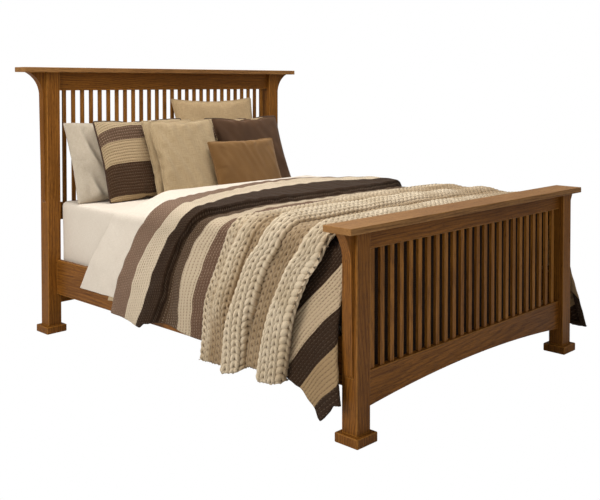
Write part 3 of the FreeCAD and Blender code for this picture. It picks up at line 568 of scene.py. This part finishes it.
# Lines that run across the bed: a label, and how far each station lies from the foot's face
def placeRows(rows, labels, stations):
    rounds = {"across": 40, "along": 6}
    names = sorted(rows)
    table = np.array([rows[name] for name in names])
    row = np.clip(np.searchsorted(names, labels, side="right") - 1, 0, len(names) - 2)
    names = np.array(names)
    share = (labels - names[row]) / (names[row + 1] - names[row])
    column = np.clip(np.floor(stations).astype(int), 0, table.shape[1] - 2)
    part = stations - column
    row, share = np.broadcast_to(row, stations.shape), np.broadcast_to(share, stations.shape)
    near = table[row, column] * (1 - part) + table[row, column + 1] * part
    far = table[row + 1, column] * (1 - part) + table[row + 1, column + 1] * part
    y = near * (1 - share) + far * share
    for _ in range(rounds["across"]):
        y[1:-1] = (y[:-2] + 2 * y[1:-1] + y[2:]) / 4
    for _ in range(rounds["along"]):
        y[:, 1:-1] = (y[:, :-2] + 2 * y[:, 1:-1] + y[:, 2:]) / 4
    return y


# The quilt: a thick flap is folded back at its head end, with a crease at the flap's edge
def quiltLift(label):
    flap = {"edge": 0.935, "end": 1.33, "base": 0.010, "step": 0.032, "swell": 0.006,
            "crease": 0.014, "round": 0.035}
    edge = flap["edge"]
    step = flap["step"] * smooth(label, edge - 0.002, edge + 0.012)
    swell = flap["swell"] * smooth(label, edge, edge + 0.1)
    crease = -flap["crease"] * np.exp(-((label - edge + 0.016) / 0.013) ** 2)
    rounding = 1 - np.clip((flap["end"] - label) / flap["round"], 0, 1)
    return flap["base"] + crease + (step + swell) * (0.35 + 0.65 * np.sqrt(1 - rounding ** 2))


def makeQuilt():
    size = {"shoulderX": 0.781, "round": 0.057, "kneeX": 0.818, "topZ": 0.741,
            "topHalf": 0.735, "foot": 0.066, "head": 1.33, "columns": 290,
            "counts": (66, 12, 124), "slant": 0.7, "valley": 0.016, "cordPitch": 0.024,
            "cord": 0.005, "tuftPitch": 0.0125, "tuft": 0.0012, "edge": 0.007}
    rows = {0.066: (.055, .085, .085, .085, .085, .085, .118, .118, .118, .085, .075, -.005),
            0.30: (.50, .47, .44, .38, .34, .30, .33, .33, .33, .30, .36, .50),
            0.60: (.80, .76, .73, .67, .63, .60, .68, .70, .68, .66, .72, .86),
            0.76: (.95, .94, .91, .875, .82, .785, .92, .94, .92, .88, .93, 1.06),
            0.83: (1.055, 1.04, 1.03, .99, .93, .88, .975, .99, .97, .96, 1.01, 1.15),
            0.935: (1.21, 1.13, 1.115, 1.07, 1.01, .95, 1.01, 1.03, 1.00, 1.05, 1.12, 1.26),
            1.05: (1.30, 1.22, 1.19, 1.135, 1.085, 1.00, 1.15, 1.27, 1.27, 1.12, 1.20, 1.36),
            1.17: (1.41, 1.36, 1.33, 1.255, 1.185, 1.10, 1.29, 1.43, 1.48, 1.23, 1.32, 1.48),
            1.33: (1.53, 1.49, 1.45, 1.395, 1.34, 1.26, 1.41, 1.50, 1.53, 1.29, 1.38, 1.55)}
    # The hem's height on the left and the right, by its distance from the foot's face
    hemHeights = {-1: ([.083, .14, .165, .188, .265, .345, .9, 1.06, 1.25, 1.28, 1.5],
                       [.150, .085, .066, .10, .165, .20, .226, .242, .236, .214, .24]),
                  1: ([-.005, .06, .16, .45, 1.6], [.095, .10, .14, .20, .25])}
    stripes = [(-0.40, darkBrown), (-0.275, shadedFootBeige), (-0.178, darkBrown),
               (-0.078, shadedFootCream), (0.036, darkBrown), (0.23, mauveBrown),
               (0.32, stripeBeige), (0.42, mauveBrown), (0.50, stripeBeige),
               (0.60, flapMauve), (0.76, flapCream), (0.83, greyBrown), (0.93, darkBrown),
               (1.05, stripeCream), (1.17, mauveBrown)]
    label = np.linspace(size["foot"], size["head"], size["columns"])[None, :]
    share = (label - size["foot"]) / (size["head"] - size["foot"])
    names = sorted(rows)
    leftY, rightY = (np.interp(label, names, [rows[name][end] for name in names])
                     for end in (0, -1))
    hems = {-1: np.interp(leftY, *hemHeights[-1]), 1: np.interp(rightY, *hemHeights[1])}
    valley = -size["valley"] * np.exp(-((label - 0.90) / 0.04) ** 2)
    swings = {-1: (0.008 + 0.008 * np.sin(leftY * 21.0) + valley
                   + 0.012 * (1 - smooth(share, 0, 0.2))),
              1: (0.010 + 0.012 * np.sin(rightY * 15 + 2)
                  + 0.125 * (1 - smooth(share, 0, 0.24)) ** 2)}
    x, z, across = crossPaths(size, hems, swings, quiltLift(label))
    y = placeRows(rows, label, stationsOf(x, z, hems, size))
    drop = np.maximum(size["topZ"] - 0.03 - z, 0)
    stripe = label - size["slant"] * drop * (1 - smooth(label, 0.10, 0.60))
    # Thick cords lie at the foot end, and rows of small tufts on the rest
    cords = smooth(stripe, -0.085, -0.07) * (1 - smooth(stripe, 0.03, 0.045))
    puff = 0.0016 * ripple(across, stripe, 0.10, 3) + 0.003 * ripple(across, stripe * 2, 0.5, 4)
    puff += size["cord"] * cords * np.abs(np.sin(math.pi * stripe / size["cordPitch"]))
    tufts = np.abs(np.sin(math.pi * stripe / size["tuftPitch"])) ** 0.7
    puff += size["tuft"] * tufts * (1 - cords)
    quilt = layCloth("quilt_cover", (x, y, z), (across, stripe),
                     makeQuilted("quiltStripes", stripes, -0.40, 1.40),
                     ["quilt"], [puff], size["edge"])
    print("quilt made")
    makeQuiltTuck()


def makeQuiltTuck():
    # The quilt's foot end, tucked down between the mattress and the slats
    size = {"halfWidth": 0.755, "wide": 0.785, "wideAbove": 0.42, "topZ": 0.745,
            "bottomZ": 0.205, "y": 0.127, "round": 0.02, "wrinkle": 0.003}
    down = np.linspace(0, 1, 60)[None, :]
    z = size["topZ"] - (size["topZ"] - size["bottomZ"]) * down
    width = np.where(z > size["wideAbove"], size["wide"], size["halfWidth"])
    x = np.linspace(-1, 1, 120)[::-1, None] * width
    over = np.maximum(1 - (size["topZ"] - z) / size["round"], 0)
    y = size["y"] + size["round"] * (1 - np.sqrt(np.maximum(1 - over ** 2, 0)))
    y = y + size["wrinkle"] * ripple(x, z, 0.25, 9)
    backing = makeFabric("quiltBacking", tone(50, 31, 17), tone(36, 21, 11), 500.0)
    tuck = layCloth("quilt_tuck", (x, y, z), (x, -0.3 - 0.1 * down), backing)


# Chunky knitting: two slanting rows of plump loops in every column, with a loop's slant and
# half its width and length as shares of a leg and a stitch
loop = {"slant": 0.55, "wide": 0.56, "long": 0.55}


def loopRelief(column, stitch):
    leg = np.abs((column - np.floor(column)) * 2 - 1)
    turn = stitch + loop["slant"] * leg
    part = turn - np.floor(turn) - 0.5
    inside = 1 - ((leg - 0.5) / loop["wide"]) ** 2 - (part / loop["long"]) ** 2
    return np.sqrt(np.maximum(inside, 0))


def smoothed(line, rounds):
    for _ in range(rounds):
        line = np.concatenate([line[:, :1], (line[:, :-2] + 2 * line[:, 1:-1] + line[:, 2:]) / 4,
                               line[:, -1:]], axis=1)
    return line


def makeThrow():
    size = {"shoulderX": 0.806, "round": 0.078, "kneeX": 0.853, "topZ": 0.774,
            "topHalf": 0.74, "counts": (112, 20, 330), "columns": 17, "perColumn": 8,
            "stitch": 0.031, "relief": 0.0075, "long": 0.85, "edge": 0.007}
    rows = {0: (.335, .295, .268, .218, .16, .128, .128, .128, .128, .128, .17, .24),
            1: (.855, .828, .803, .77, .74, .70, .725, .78, .79, .78, .84, .93)}
    # The hem's height on the left and the right by the share of the throw, and how often
    # the line is smoothed
    hemHeights = {-1: ([0, .08, .2, .3, .42, .48, .6, .72, 1],
                       [.178, .164, .166, .190, .190, .160, .156, .158, .150], 6),
                  1: ([0, .3, .7, 1], [.19, .17, .20, .18], 14)}
    # Each fold's foot, crest and head as shares of the throw, its height, how far it drifts
    # toward the hem, and whether it fades there
    folds = ((-0.01, 0.17, 0.26, 0.050, 0.02, 0), (0.40, 0.53, 0.62, 0.066, 0.05, 0),
             (0.72, 0.82, 0.90, 0.036, 0.03, 1))
    share = np.linspace(0, 1, size["columns"] * size["perColumn"] + 1)[None, :]
    hems = {side: smoothed(np.interp(share, at, heights), rounds)
            for side, (at, heights, rounds) in hemHeights.items()}
    swings = {-1: 0.004 + 0 * share, 1: 0.02 + 0 * share}
    x, z, across = crossPaths(size, hems, swings, -0.008 * (1 - smooth(share, 0, 0.05)))
    y = placeRows(rows, share, stationsOf(x, z, hems, size))
    hanging = smooth(size["topZ"] - z, 0.0, 0.16)
    ridges = 0.003 * (1 + ripple(across, share * 0.7, 0.3, 21))
    low = smooth(0.55 - z, 0, 0.35)
    flatter = (0.6 + 0.4 * hanging) * (1 - 0.75 * smooth(x, 0.0, 0.75))
    for foot, crest, head, height, shift, fade in folds:
        drift = shift * low + 0.010 * np.sin(across * 2.3 + foot * 9)
        rise = 1 - smooth(share, crest + drift, head + drift)
        fall = np.clip((share - foot - drift) / (crest - foot), 0, 1) ** 0.45
        ridges += flatter * (1 - fade * low) * height * rise * fall
    columns = share * size["columns"] - 1e-6
    stitches = across / size["stitch"] + 0.5 * np.floor(columns)
    ends = smooth(across - across[:1], 0, 0.008) * smooth(across[-1:] - across, 0, 0.008)
    ends = ends * smooth(share, 0, 0.007) * smooth(1 - share, 0, 0.007)
    relief = size["relief"] * loopRelief(columns, stitches) * ends
    # Painted shade for the knit's colour: darker where the folds are low, with less of it toward
    # the flat head edge
    shade = (1 - smooth(ridges, 0.006, 0.036)) * (1 - 0.8 * smooth(share, 0.86, 0.93))
    throw = layCloth("throw_knit", (x, y, z), (across, share * size["long"]), makeKnit(size),
                     ["knit_throw"], [ridges, relief], size["edge"], shade)
    print("throw made")


def makeKnit(size):
    # The same loops as in the mesh, worked out from the flat coordinates
    material, tree, shader = newMaterial("knitWool", 0.94, 0.15)

    def offset(value, half):
        away = compute(tree, "ABSOLUTE", compute(tree, "SUBTRACT", value, 0.5))
        return compute(tree, "POWER", compute(tree, "DIVIDE", away, half), 2.0)

    flat = clothPlace(tree)
    across, along, _ = splitVector(tree, flat)
    columns = times(tree, along, size["columns"] / size["long"])
    leg = compute(tree, "ABSOLUTE", timesPlus(tree, compute(tree, "FRACT", columns), 2.0, -1.0))
    stitches = timesPlus(tree, compute(tree, "FLOOR", columns), 0.5,
                         compute(tree, "DIVIDE", across, size["stitch"]))
    turn = compute(tree, "FRACT", timesPlus(tree, leg, loop["slant"], stitches))
    shadedHollow = compute(tree, "ADD", offset(leg, loop["wide"]), offset(turn, loop["long"]))
    yarn = stretchedNoise(tree, flat, (260.0, 620.0, 1.0), 3.0)
    colour = tone(229, 212, 185)
    # Slow changes of tone and fluff, then painted shade in the grooves between loops and in the
    # depths under them
    for mask, darker in (
            (remap(tree, noise(tree, flat, 6.0), 0.35, 0.7), tone(209, 190, 160)),
            (remap(tree, yarn, 0.35, 0.75, 0.0, 0.4), tone(166, 143, 108)),
            (remap(tree, shadedHollow, 0.5, 1.1, 0.0, 0.45), tone(128, 103, 72)),
            (remap(tree, shadedHollow, 1.02, 1.4, 0.0, 0.9), tone(66, 48, 30))):
        colour = mixColours(tree, mask, colour, darker)
    # Painted shade from the mesh's attribute: darker in the low parts between the folds
    shade = addNode(tree, "ShaderNodeAttribute", attribute_name="shadedHollow").outputs["Fac"]
    colour = mixColours(tree, times(tree, shade, 0.75), colour, tone(178, 158, 130), "MULTIPLY")
    cover(tree, shader, colour, timesPlus(tree, shadedHollow, -1.2, yarn), 0.7, 0.004)
    return material


# Sheets under the quilt
def makeSheets():
    cotton = makeFabric("sheetCotton", tone(226, 216, 202), tone(214, 202, 186), 900.0, 0.05)
    size = {"shoulderX": 0.766, "round": 0.042, "kneeX": 0.8005, "topZ": bedTop + 0.004,
            "counts": (60, 10, 150), "columns": 170, "lean": 0.64, "foot": 0.30, "head": 1.66,
            "hem": 0.288, "swing": 0.001, "swell": 0.078, "edge": 0.0012}
    share = np.linspace(0, 1, size["columns"])[None, :]
    hem = size["hem"] - 0.009 * share
    still = size["swing"] + 0 * share
    x, z, across = crossPaths(size, {-1: hem, 1: hem + 0.012}, {-1: still, 1: still}, 0 * share)
    drop = np.maximum(size["topZ"] - 0.02 - z, 0)
    y = size["foot"] + (size["head"] - size["foot"]) * share + size["lean"] * share * drop
    # The top swells up toward the quilt, and comes down before the pillows
    middle = smooth(x, -0.75, -0.45) * (1 - smooth(x, 0.55, 0.75))
    y = y + 0.05 * middle * smooth(share, 0.8, 1)
    z = z + size["swell"] * middle * smooth(y, 1.15, 1.40) * (1 - smooth(y, 1.595, 1.695))
    wrinkle = 0.0016 * ripple(across, y * 1.6, 0.16, 31) * smooth(np.abs(x), 0.1, 0.7)
    wrinkle += 0.0022 * ripple(across * 0.4, y, 0.09, 33) * (drop > 0) * smooth(drop, 0, 0.15)
    sheet = layCloth("sheet_flat", (x, y, z), (across, y), cotton,
                     ["flat_sheet"], [0.0015 + np.maximum(wrinkle, -0.001)], size["edge"])
    low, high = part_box("fitted_sheet")
    corners = ((low[0], low[1], railTop - 0.03), high)
    addPad("sheet_fitted", "fitted_sheet", corners, 0.025, 0.02, 41, cotton)
    print("sheets made")
    makeBlanket()


def makeBlanket():
    # A thin beige blanket shows below the sheet's hem, at the quilt's head edge
    size = {"topZ": 0.40, "bottomZ": 0.256, "foot": 1.30, "long": 0.29, "lean": 0.5,
            "x": -0.7995}
    beige = makeFabric("blanketBeige", tone(190, 168, 134), tone(170, 146, 112), 420.0, 0.2)
    share = np.linspace(0, 1, 60)[None, :]
    down = np.linspace(0, 1, 40)[::-1, None]
    z = size["topZ"] - (size["topZ"] - size["bottomZ"]) * down + 0.004 * np.sin(share * 9)
    y = size["foot"] + size["long"] * share + size["lean"] * (size["topZ"] - z)
    x = size["x"] - 0.002 * (1 + np.sin(y * 130)) * down
    blanket = layCloth("blanket_edge", (x, y, z), (z, y), beige)


# Blocks with rounded edges: the mattress, the fitted sheet and the spring base
def addPad(name, node, corners, radius, step, seed, material, wrinkle=0.0012):
    low, high = (np.array(corner) for corner in corners)
    points, faces, flats = [], [], []
    for axis in range(3):
        others = [other for other in range(3) if other != axis]
        for end in (0, 1):
            lines = [np.linspace(low[other], high[other], int((high - low)[other] / step) + 2)
                     for other in others]
            first, second = np.meshgrid(*lines, indexing="ij")
            face = np.zeros(first.shape + (3,))
            face[..., others[0]], face[..., others[1]] = first, second
            face[..., axis] = (low, high)[end][axis]
            start = sum(len(part) for part in points)
            quads = gridQuads(np.arange(first.size).reshape(first.shape) + start)
            if (end == 0) != (axis == 1):
                quads = quads[:, ::-1]
            points.append(face.reshape(-1, 3))
            flats.append(np.stack([first, second], axis=-1).reshape(-1, 2))
            faces.append(quads)
    points, faces, flats = (np.concatenate(parts) for parts in (points, faces, flats))
    core = np.clip(points, low + radius, high - radius)
    sway = wrinkle * (ripple(points[:, 0] + points[:, 2], points[:, 1], 0.3, seed) - 1.5)
    points = core + unit(points - core) * (radius + np.minimum(sway, 0))[:, None]
    joined = placeObject(name + "_weld", clothMesh(name, points, faces, flats))
    joined.modifiers.new("weld", "WELD").merge_threshold = 0.0002
    made = appliedMesh(joined)
    made.shade_smooth()
    addPiece(name, made, material, [node])


def makeMattress():
    ticking = makeFabric("ticking", tone(216, 209, 194), tone(198, 189, 172), 500.0, 0.1, 0.001)
    pads = {"mattress": {"radius": 0.036, "inset": 0.004, "seed": 51},
            "spring_base": {"radius": 0.014, "inset": 0, "seed": 52}}
    for node, pad in pads.items():
        low, high = (np.array(corner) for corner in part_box(node))
        corners = (low + pad["inset"], high - pad["inset"])
        addPad(node + "_pad", node, corners, pad["radius"], 0.04, pad["seed"], ticking)
    print("mattress made")


# Pillows: two panels joined at the seam, blown up by a cloth simulation
def blowUp(name, width, height, pressure, count=44):
    fabric = {"use_pressure": True, "uniform_pressure_force": pressure, "quality": 6,
              "mass": 0.25, "tension_stiffness": 18, "compression_stiffness": 12,
              "bending_stiffness": 0.3}
    step = np.linspace(-1, 1, count)
    across, up = np.meshgrid(step, step, indexing="ij")
    x, z = across * width / 2, up * height / 2
    gap = 0.004 * np.cos(across * math.pi / 2) * np.cos(up * math.pi / 2)
    rim = np.maximum(np.abs(across), np.abs(up)) > 0.9999
    front = np.stack([x, -gap, z], axis=-1).reshape(-1, 3)
    back = np.stack([x, gap, z], axis=-1)[~rim]
    index = np.arange(count * count).reshape(count, count)
    twin = index.copy()
    twin[~rim] = count * count + np.arange(len(back))
    quads = gridQuads(index)
    faces = np.concatenate([quads, twin.ravel()[quads][:, ::-1]])
    places = np.concatenate([front, back])
    flat = places[:, (0, 2)] + (width / 2, height / 2)
    flat[:, 1] += 0.03 * np.abs(2 * places[:, 0] / width) ** 6
    piece = placeObject(name, clothMesh(name, places, faces, flat))
    cloth = piece.modifiers.new("cloth", "CLOTH")
    setAll(cloth.settings, fabric)
    cloth.settings.effector_weights.gravity = 0
    cloth.collision_settings.use_collision = False
    for number in range(1, 18):
        bpy.context.scene.frame_set(number)
    piece.modifiers.new("finer", "SUBSURF").levels = 1
    made = appliedMesh(piece)
    bpy.context.scene.frame_set(1)
    seam = np.concatenate([index[0, :-1], index[:-1, -1], index[-1, :0:-1], index[:0:-1, 0]])
    return made, seam


# Piping: a round cord along a closed seam
def makePipingTree():
    tree, source, sink = newGroup(
        "seamPiping", {"Seam": "Geometry", "Radius": "Float", "Sides": "Int",
                       "Cover": "Material"}, {"Piping": "Geometry"}, "GeometryNodeTree")
    line = addNode(tree, "GeometryNodeMeshToCurve", {"Mesh": source["Seam"]}).outputs[0]
    ring = addNode(tree, "GeometryNodeCurvePrimitiveCircle",
                   {"Resolution": source["Sides"], "Radius": source["Radius"]}).outputs["Curve"]
    kept = []
    for curve, measure in ((line, "Length"), (ring, "Factor")):
        place = tree.nodes.new("GeometryNodeSplineParameter").outputs[measure]
        capture = tree.nodes.new("GeometryNodeCaptureAttribute")
        capture.capture_items.new("FLOAT", measure)
        tree.links.new(curve, capture.inputs["Geometry"])
        tree.links.new(place, capture.inputs[measure])
        kept.append((capture.outputs["Geometry"], capture.outputs[measure]))
    (path, along), (profile, around) = kept
    tube = addNode(tree, "GeometryNodeCurveToMesh", {"Curve": path, "Profile Curve": profile})
    flat = joinVector(tree, along, times(tree, around, 0.02))
    stored = addNode(tree, "GeometryNodeStoreNamedAttribute",
                     {"Geometry": tube.outputs[0], "Name": "cloth"},
                     data_type="FLOAT2", domain="CORNER")
    value = [socket for socket in stored.inputs if socket.name == "Value" and socket.enabled][0]
    tree.links.new(flat, value)
    realized = addNode(tree, "GeometryNodeRealizeInstances", {"Geometry": stored.outputs[0]})
    covered = addNode(tree, "GeometryNodeSetMaterial",
                      {"Geometry": realized.outputs[0], "Material": source["Cover"]})
    feed(tree, sink, {"Piping": covered.outputs[0]})
    return tree


pipingTree = makePipingTree()


def addPiping(name, points, radius, material):
    count = len(points)
    mesh = bpy.data.meshes.new(name)
    mesh.from_pydata(points.tolist(), [(at, (at + 1) % count) for at in range(count)], [])
    seam = placeObject(name + "_seam", mesh)
    piping = setAll(seam.modifiers.new("piping", "NODES"), {"node_group": pipingTree})
    values = {"Radius": radius, "Sides": 8, "Cover": material}
    for socket in pipingTree.interface.items_tree:
        if socket.name in values:
            piping[socket.identifier] = values[socket.name]
    made = appliedMesh(seam)
    made.materials.clear()
    made.shade_smooth()
    addPiece(name, made, material)


def makePillow(name, pillow, material, edge):
    low, high = (np.array(corner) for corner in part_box(pillow["node"]))
    angle = math.radians(pillow["lean"])
    width = high[0] - low[0]
    height = (high[2] - low[2]) / math.cos(angle)
    mesh, seam = blowUp(name, width, height, pillow["pressure"])
    places = np.zeros(len(mesh.vertices) * 3)
    mesh.vertices.foreach_get("co", places)
    places = places.reshape(-1, 3)
    span = places.max(axis=0) - places.min(axis=0)
    middle = (places.max(axis=0) + places.min(axis=0)) / 2
    places = (places - middle) * (width / span[0], pillow["full"] / span[1], height / span[2])
    for axis, length, other, across in ((0, width, 2, height), (2, height, 0, width)):
        along = 2 * places[:, other] / across
        nearMiddle = seam[np.abs(along[seam]) < 0.1]
        reach = np.abs(places[nearMiddle, axis]).max()
        bow = pillow["bow"] * length / 2 / reach
        places[:, axis] *= 1 + (bow - 1) * np.clip(1 - along ** 2, 0, 1)
    x, y, z = places.T
    side = np.minimum(1 - np.abs(2 * x / width), 1 - np.abs(2 * z / height))
    lines = ripple(x + 0.3 * z, z * 0.25, 0.055, len(name))
    gathers = ripple(np.arctan2(z, x), np.hypot(x, z), 0.30, len(name) + 1)
    gathers *= 0.0022 * (1 - smooth(side, 0.1, 0.4))
    y = y + np.sign(y) * smooth(side, 0.0, 0.25) * (pillow["crease"] * lines + gathers)
    turned = np.stack([x, y * math.cos(angle) + z * math.sin(angle),
                       z * math.cos(angle) - y * math.sin(angle)], axis=-1)
    centre = (low + high) / 2
    turned += (centre[0], centre[1], low[2] - turned[:, 2].min())
    mesh.vertices.foreach_set("co", turned.ravel())
    mesh.shade_smooth()
    piece = addPiece(name, mesh, material, [pillow["node"]])
    if pillow["cord"]:
        addPiping(name + "_cord", turned[seam], pillow["cord"], edge)


def makePillows():
    # Blowing pressure, how far the sides bow in, piping, creases and lean in degrees
    usual = {"pressure": 1.8, "bow": 0.965, "cord": 0.004, "crease": 0.001, "lean": 21.0}
    pillows = {
        "pillow_sleeping": {"node": "sleeping_pillow", "slot": "sheet_cotton", "bow": 0.97,
                            "full": 0.095, "cord": 0, "crease": 0.009, "lean": 19.0},
        "pillow_tan": {"node": "tan_euro_pillow", "slot": "tan_linen", "pressure": 1.5,
                       "bow": 0.925, "full": 0.092, "lean": 15.0},
        **{"pillow_sham_" + side: {"node": "striped_sham_" + side, "slot": "quilt_cotton",
                                   "full": 0.082, "cord": 0.0045}
           for side in ("left", "right")},
        "pillow_cream_back": {"node": "cream_back_pillow", "slot": "cream_linen",
                              "pressure": 2.0, "bow": 0.96, "full": 0.066},
        "pillow_brown": {"node": "brown_pillow", "slot": "brown_velvet", "pressure": 2.0,
                         "bow": 0.95, "full": 0.072},
        "pillow_cream_front": {"node": "cream_square_pillow", "slot": "cream_linen",
                               "pressure": 2.2, "bow": 0.955, "full": 0.078, "crease": 0.003},
        "pillow_lumbar": {"node": "lumbar_pillow", "slot": "gold_velvet", "pressure": 1.9,
                          "full": 0.095, "cord": 0.0045}}
    fabrics = {
        "cream_linen": makeFabric("creamLinen", tone(177, 156, 123), tone(155, 133, 100),
                                  420.0, 0.1),
        "sheet_cotton": makeFabric("pillowCotton", tone(190, 178, 160), tone(172, 159, 140),
                                   900.0, 0.05),
        "tan_linen": makeFabric("tanLinen", tone(184, 158, 120), tone(160, 134, 98), 460.0, 0.1),
        "gold_velvet": makeVelvet("goldVelvet", tone(142, 106, 62), tone(90, 61, 29)),
        "brown_velvet": makeVelvet("brownVelvet", tone(96, 66, 40), tone(48, 29, 15))}
    darkEdge = makeFabric("darkPiping", tone(74, 52, 38), tone(52, 35, 25), 600.0)
    low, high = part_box("striped_sham_left")
    tall = (high[2] - low[2]) / math.cos(math.radians(15))
    bands = ((0.0, tone(161, 137, 102)), (0.115, tone(58, 38, 21)), (0.48, tone(167, 145, 112)),
             (0.74, tone(88, 66, 50)), (0.895, tone(175, 154, 122)))
    fabrics["quilt_cotton"] = makeQuilted(
        "shamStripes", [(share * tall, colour) for share, colour in bands], 0.0, tall)
    for name, own in pillows.items():
        material = fabrics[own["slot"]]
        edge = darkEdge if own["slot"] == "quilt_cotton" else material
        makePillow(name, {**usual, **own}, material, edge)
    print("pillows made")


# Plain pale floor and backdrop, and soft studio light
def makeStudio():
    lamps = {"key": {"size": 1.8, "energy": 128, "color": (1.0, 0.975, 0.94)},
             "front": {"size": 2.6, "energy": 26, "color": (1.0, 0.97, 0.93)},
             "top": {"size": 2.2, "energy": 130, "color": (1.0, 0.99, 0.97)}}
    places = {"key": (-4.0, -0.1, 3.1), "front": (-0.6, -4.4, 3.4), "top": (0.2, 0.2, 4.2)}
    target = Vector((0, 0, 0.5))
    half, level = 14.0, -0.0005
    corners = [(x * half, y * half, level) for x, y in ((-1, -1), (1, -1), (1, 1), (-1, 1))]
    mesh = bpy.data.meshes.new("floor")
    mesh.from_pydata(corners, [], [(0, 1, 2, 3)])
    floor = placeObject("floor", mesh)
    material, tree, shader = newMaterial("paleFloor", 0.9, specular=0.5)
    feed(tree, shader, {"Base Color": (0.7, 0.69, 0.67, 1)})
    rays = tree.nodes.new("ShaderNodeLightPath").outputs
    seen = compute(tree, "MAXIMUM", rays["Is Camera Ray"], rays["Is Transmission Ray"])
    white = addNode(tree, "ShaderNodeEmission", {"Color": (1, 1, 1, 1), "Strength": 1.0})
    mix = addNode(tree, "ShaderNodeMixShader", {0: seen, 1: shader.outputs[0],
                                                2: white.outputs[0]})
    tree.links.new(mix.outputs[0], tree.nodes["Material Output"].inputs["Surface"])
    mesh.materials.append(material)
    world = bpy.data.worlds.new("studio")
    bpy.context.scene.world = world
    world.use_nodes = True
    tree = world.node_tree
    rays = tree.nodes.new("ShaderNodeLightPath").outputs
    strength = addNode(tree, "ShaderNodeMapRange", {"Value": rays["Is Camera Ray"],
                                                    "To Min": 0.25, "To Max": 1.0})
    feed(tree, tree.nodes["Background"], {"Strength": strength.outputs[0], "Color": (1, 1, 1, 1)})
    for name, look in lamps.items():
        lamp = placeObject(name, setAll(bpy.data.lights.new(name, "AREA"), look))
        lamp.location = places[name]
        aim = target - Vector(places[name])
        lamp.rotation_euler = aim.to_track_quat("-Z", "Y").to_euler()
    bpy.context.scene.view_settings.view_transform = "Standard"


makeCamera()
makeStudio()
dressFrame()
print("frame dressed")
makeQuilt()
makeThrow()
makeSheets()
makeMattress()
makePillows()
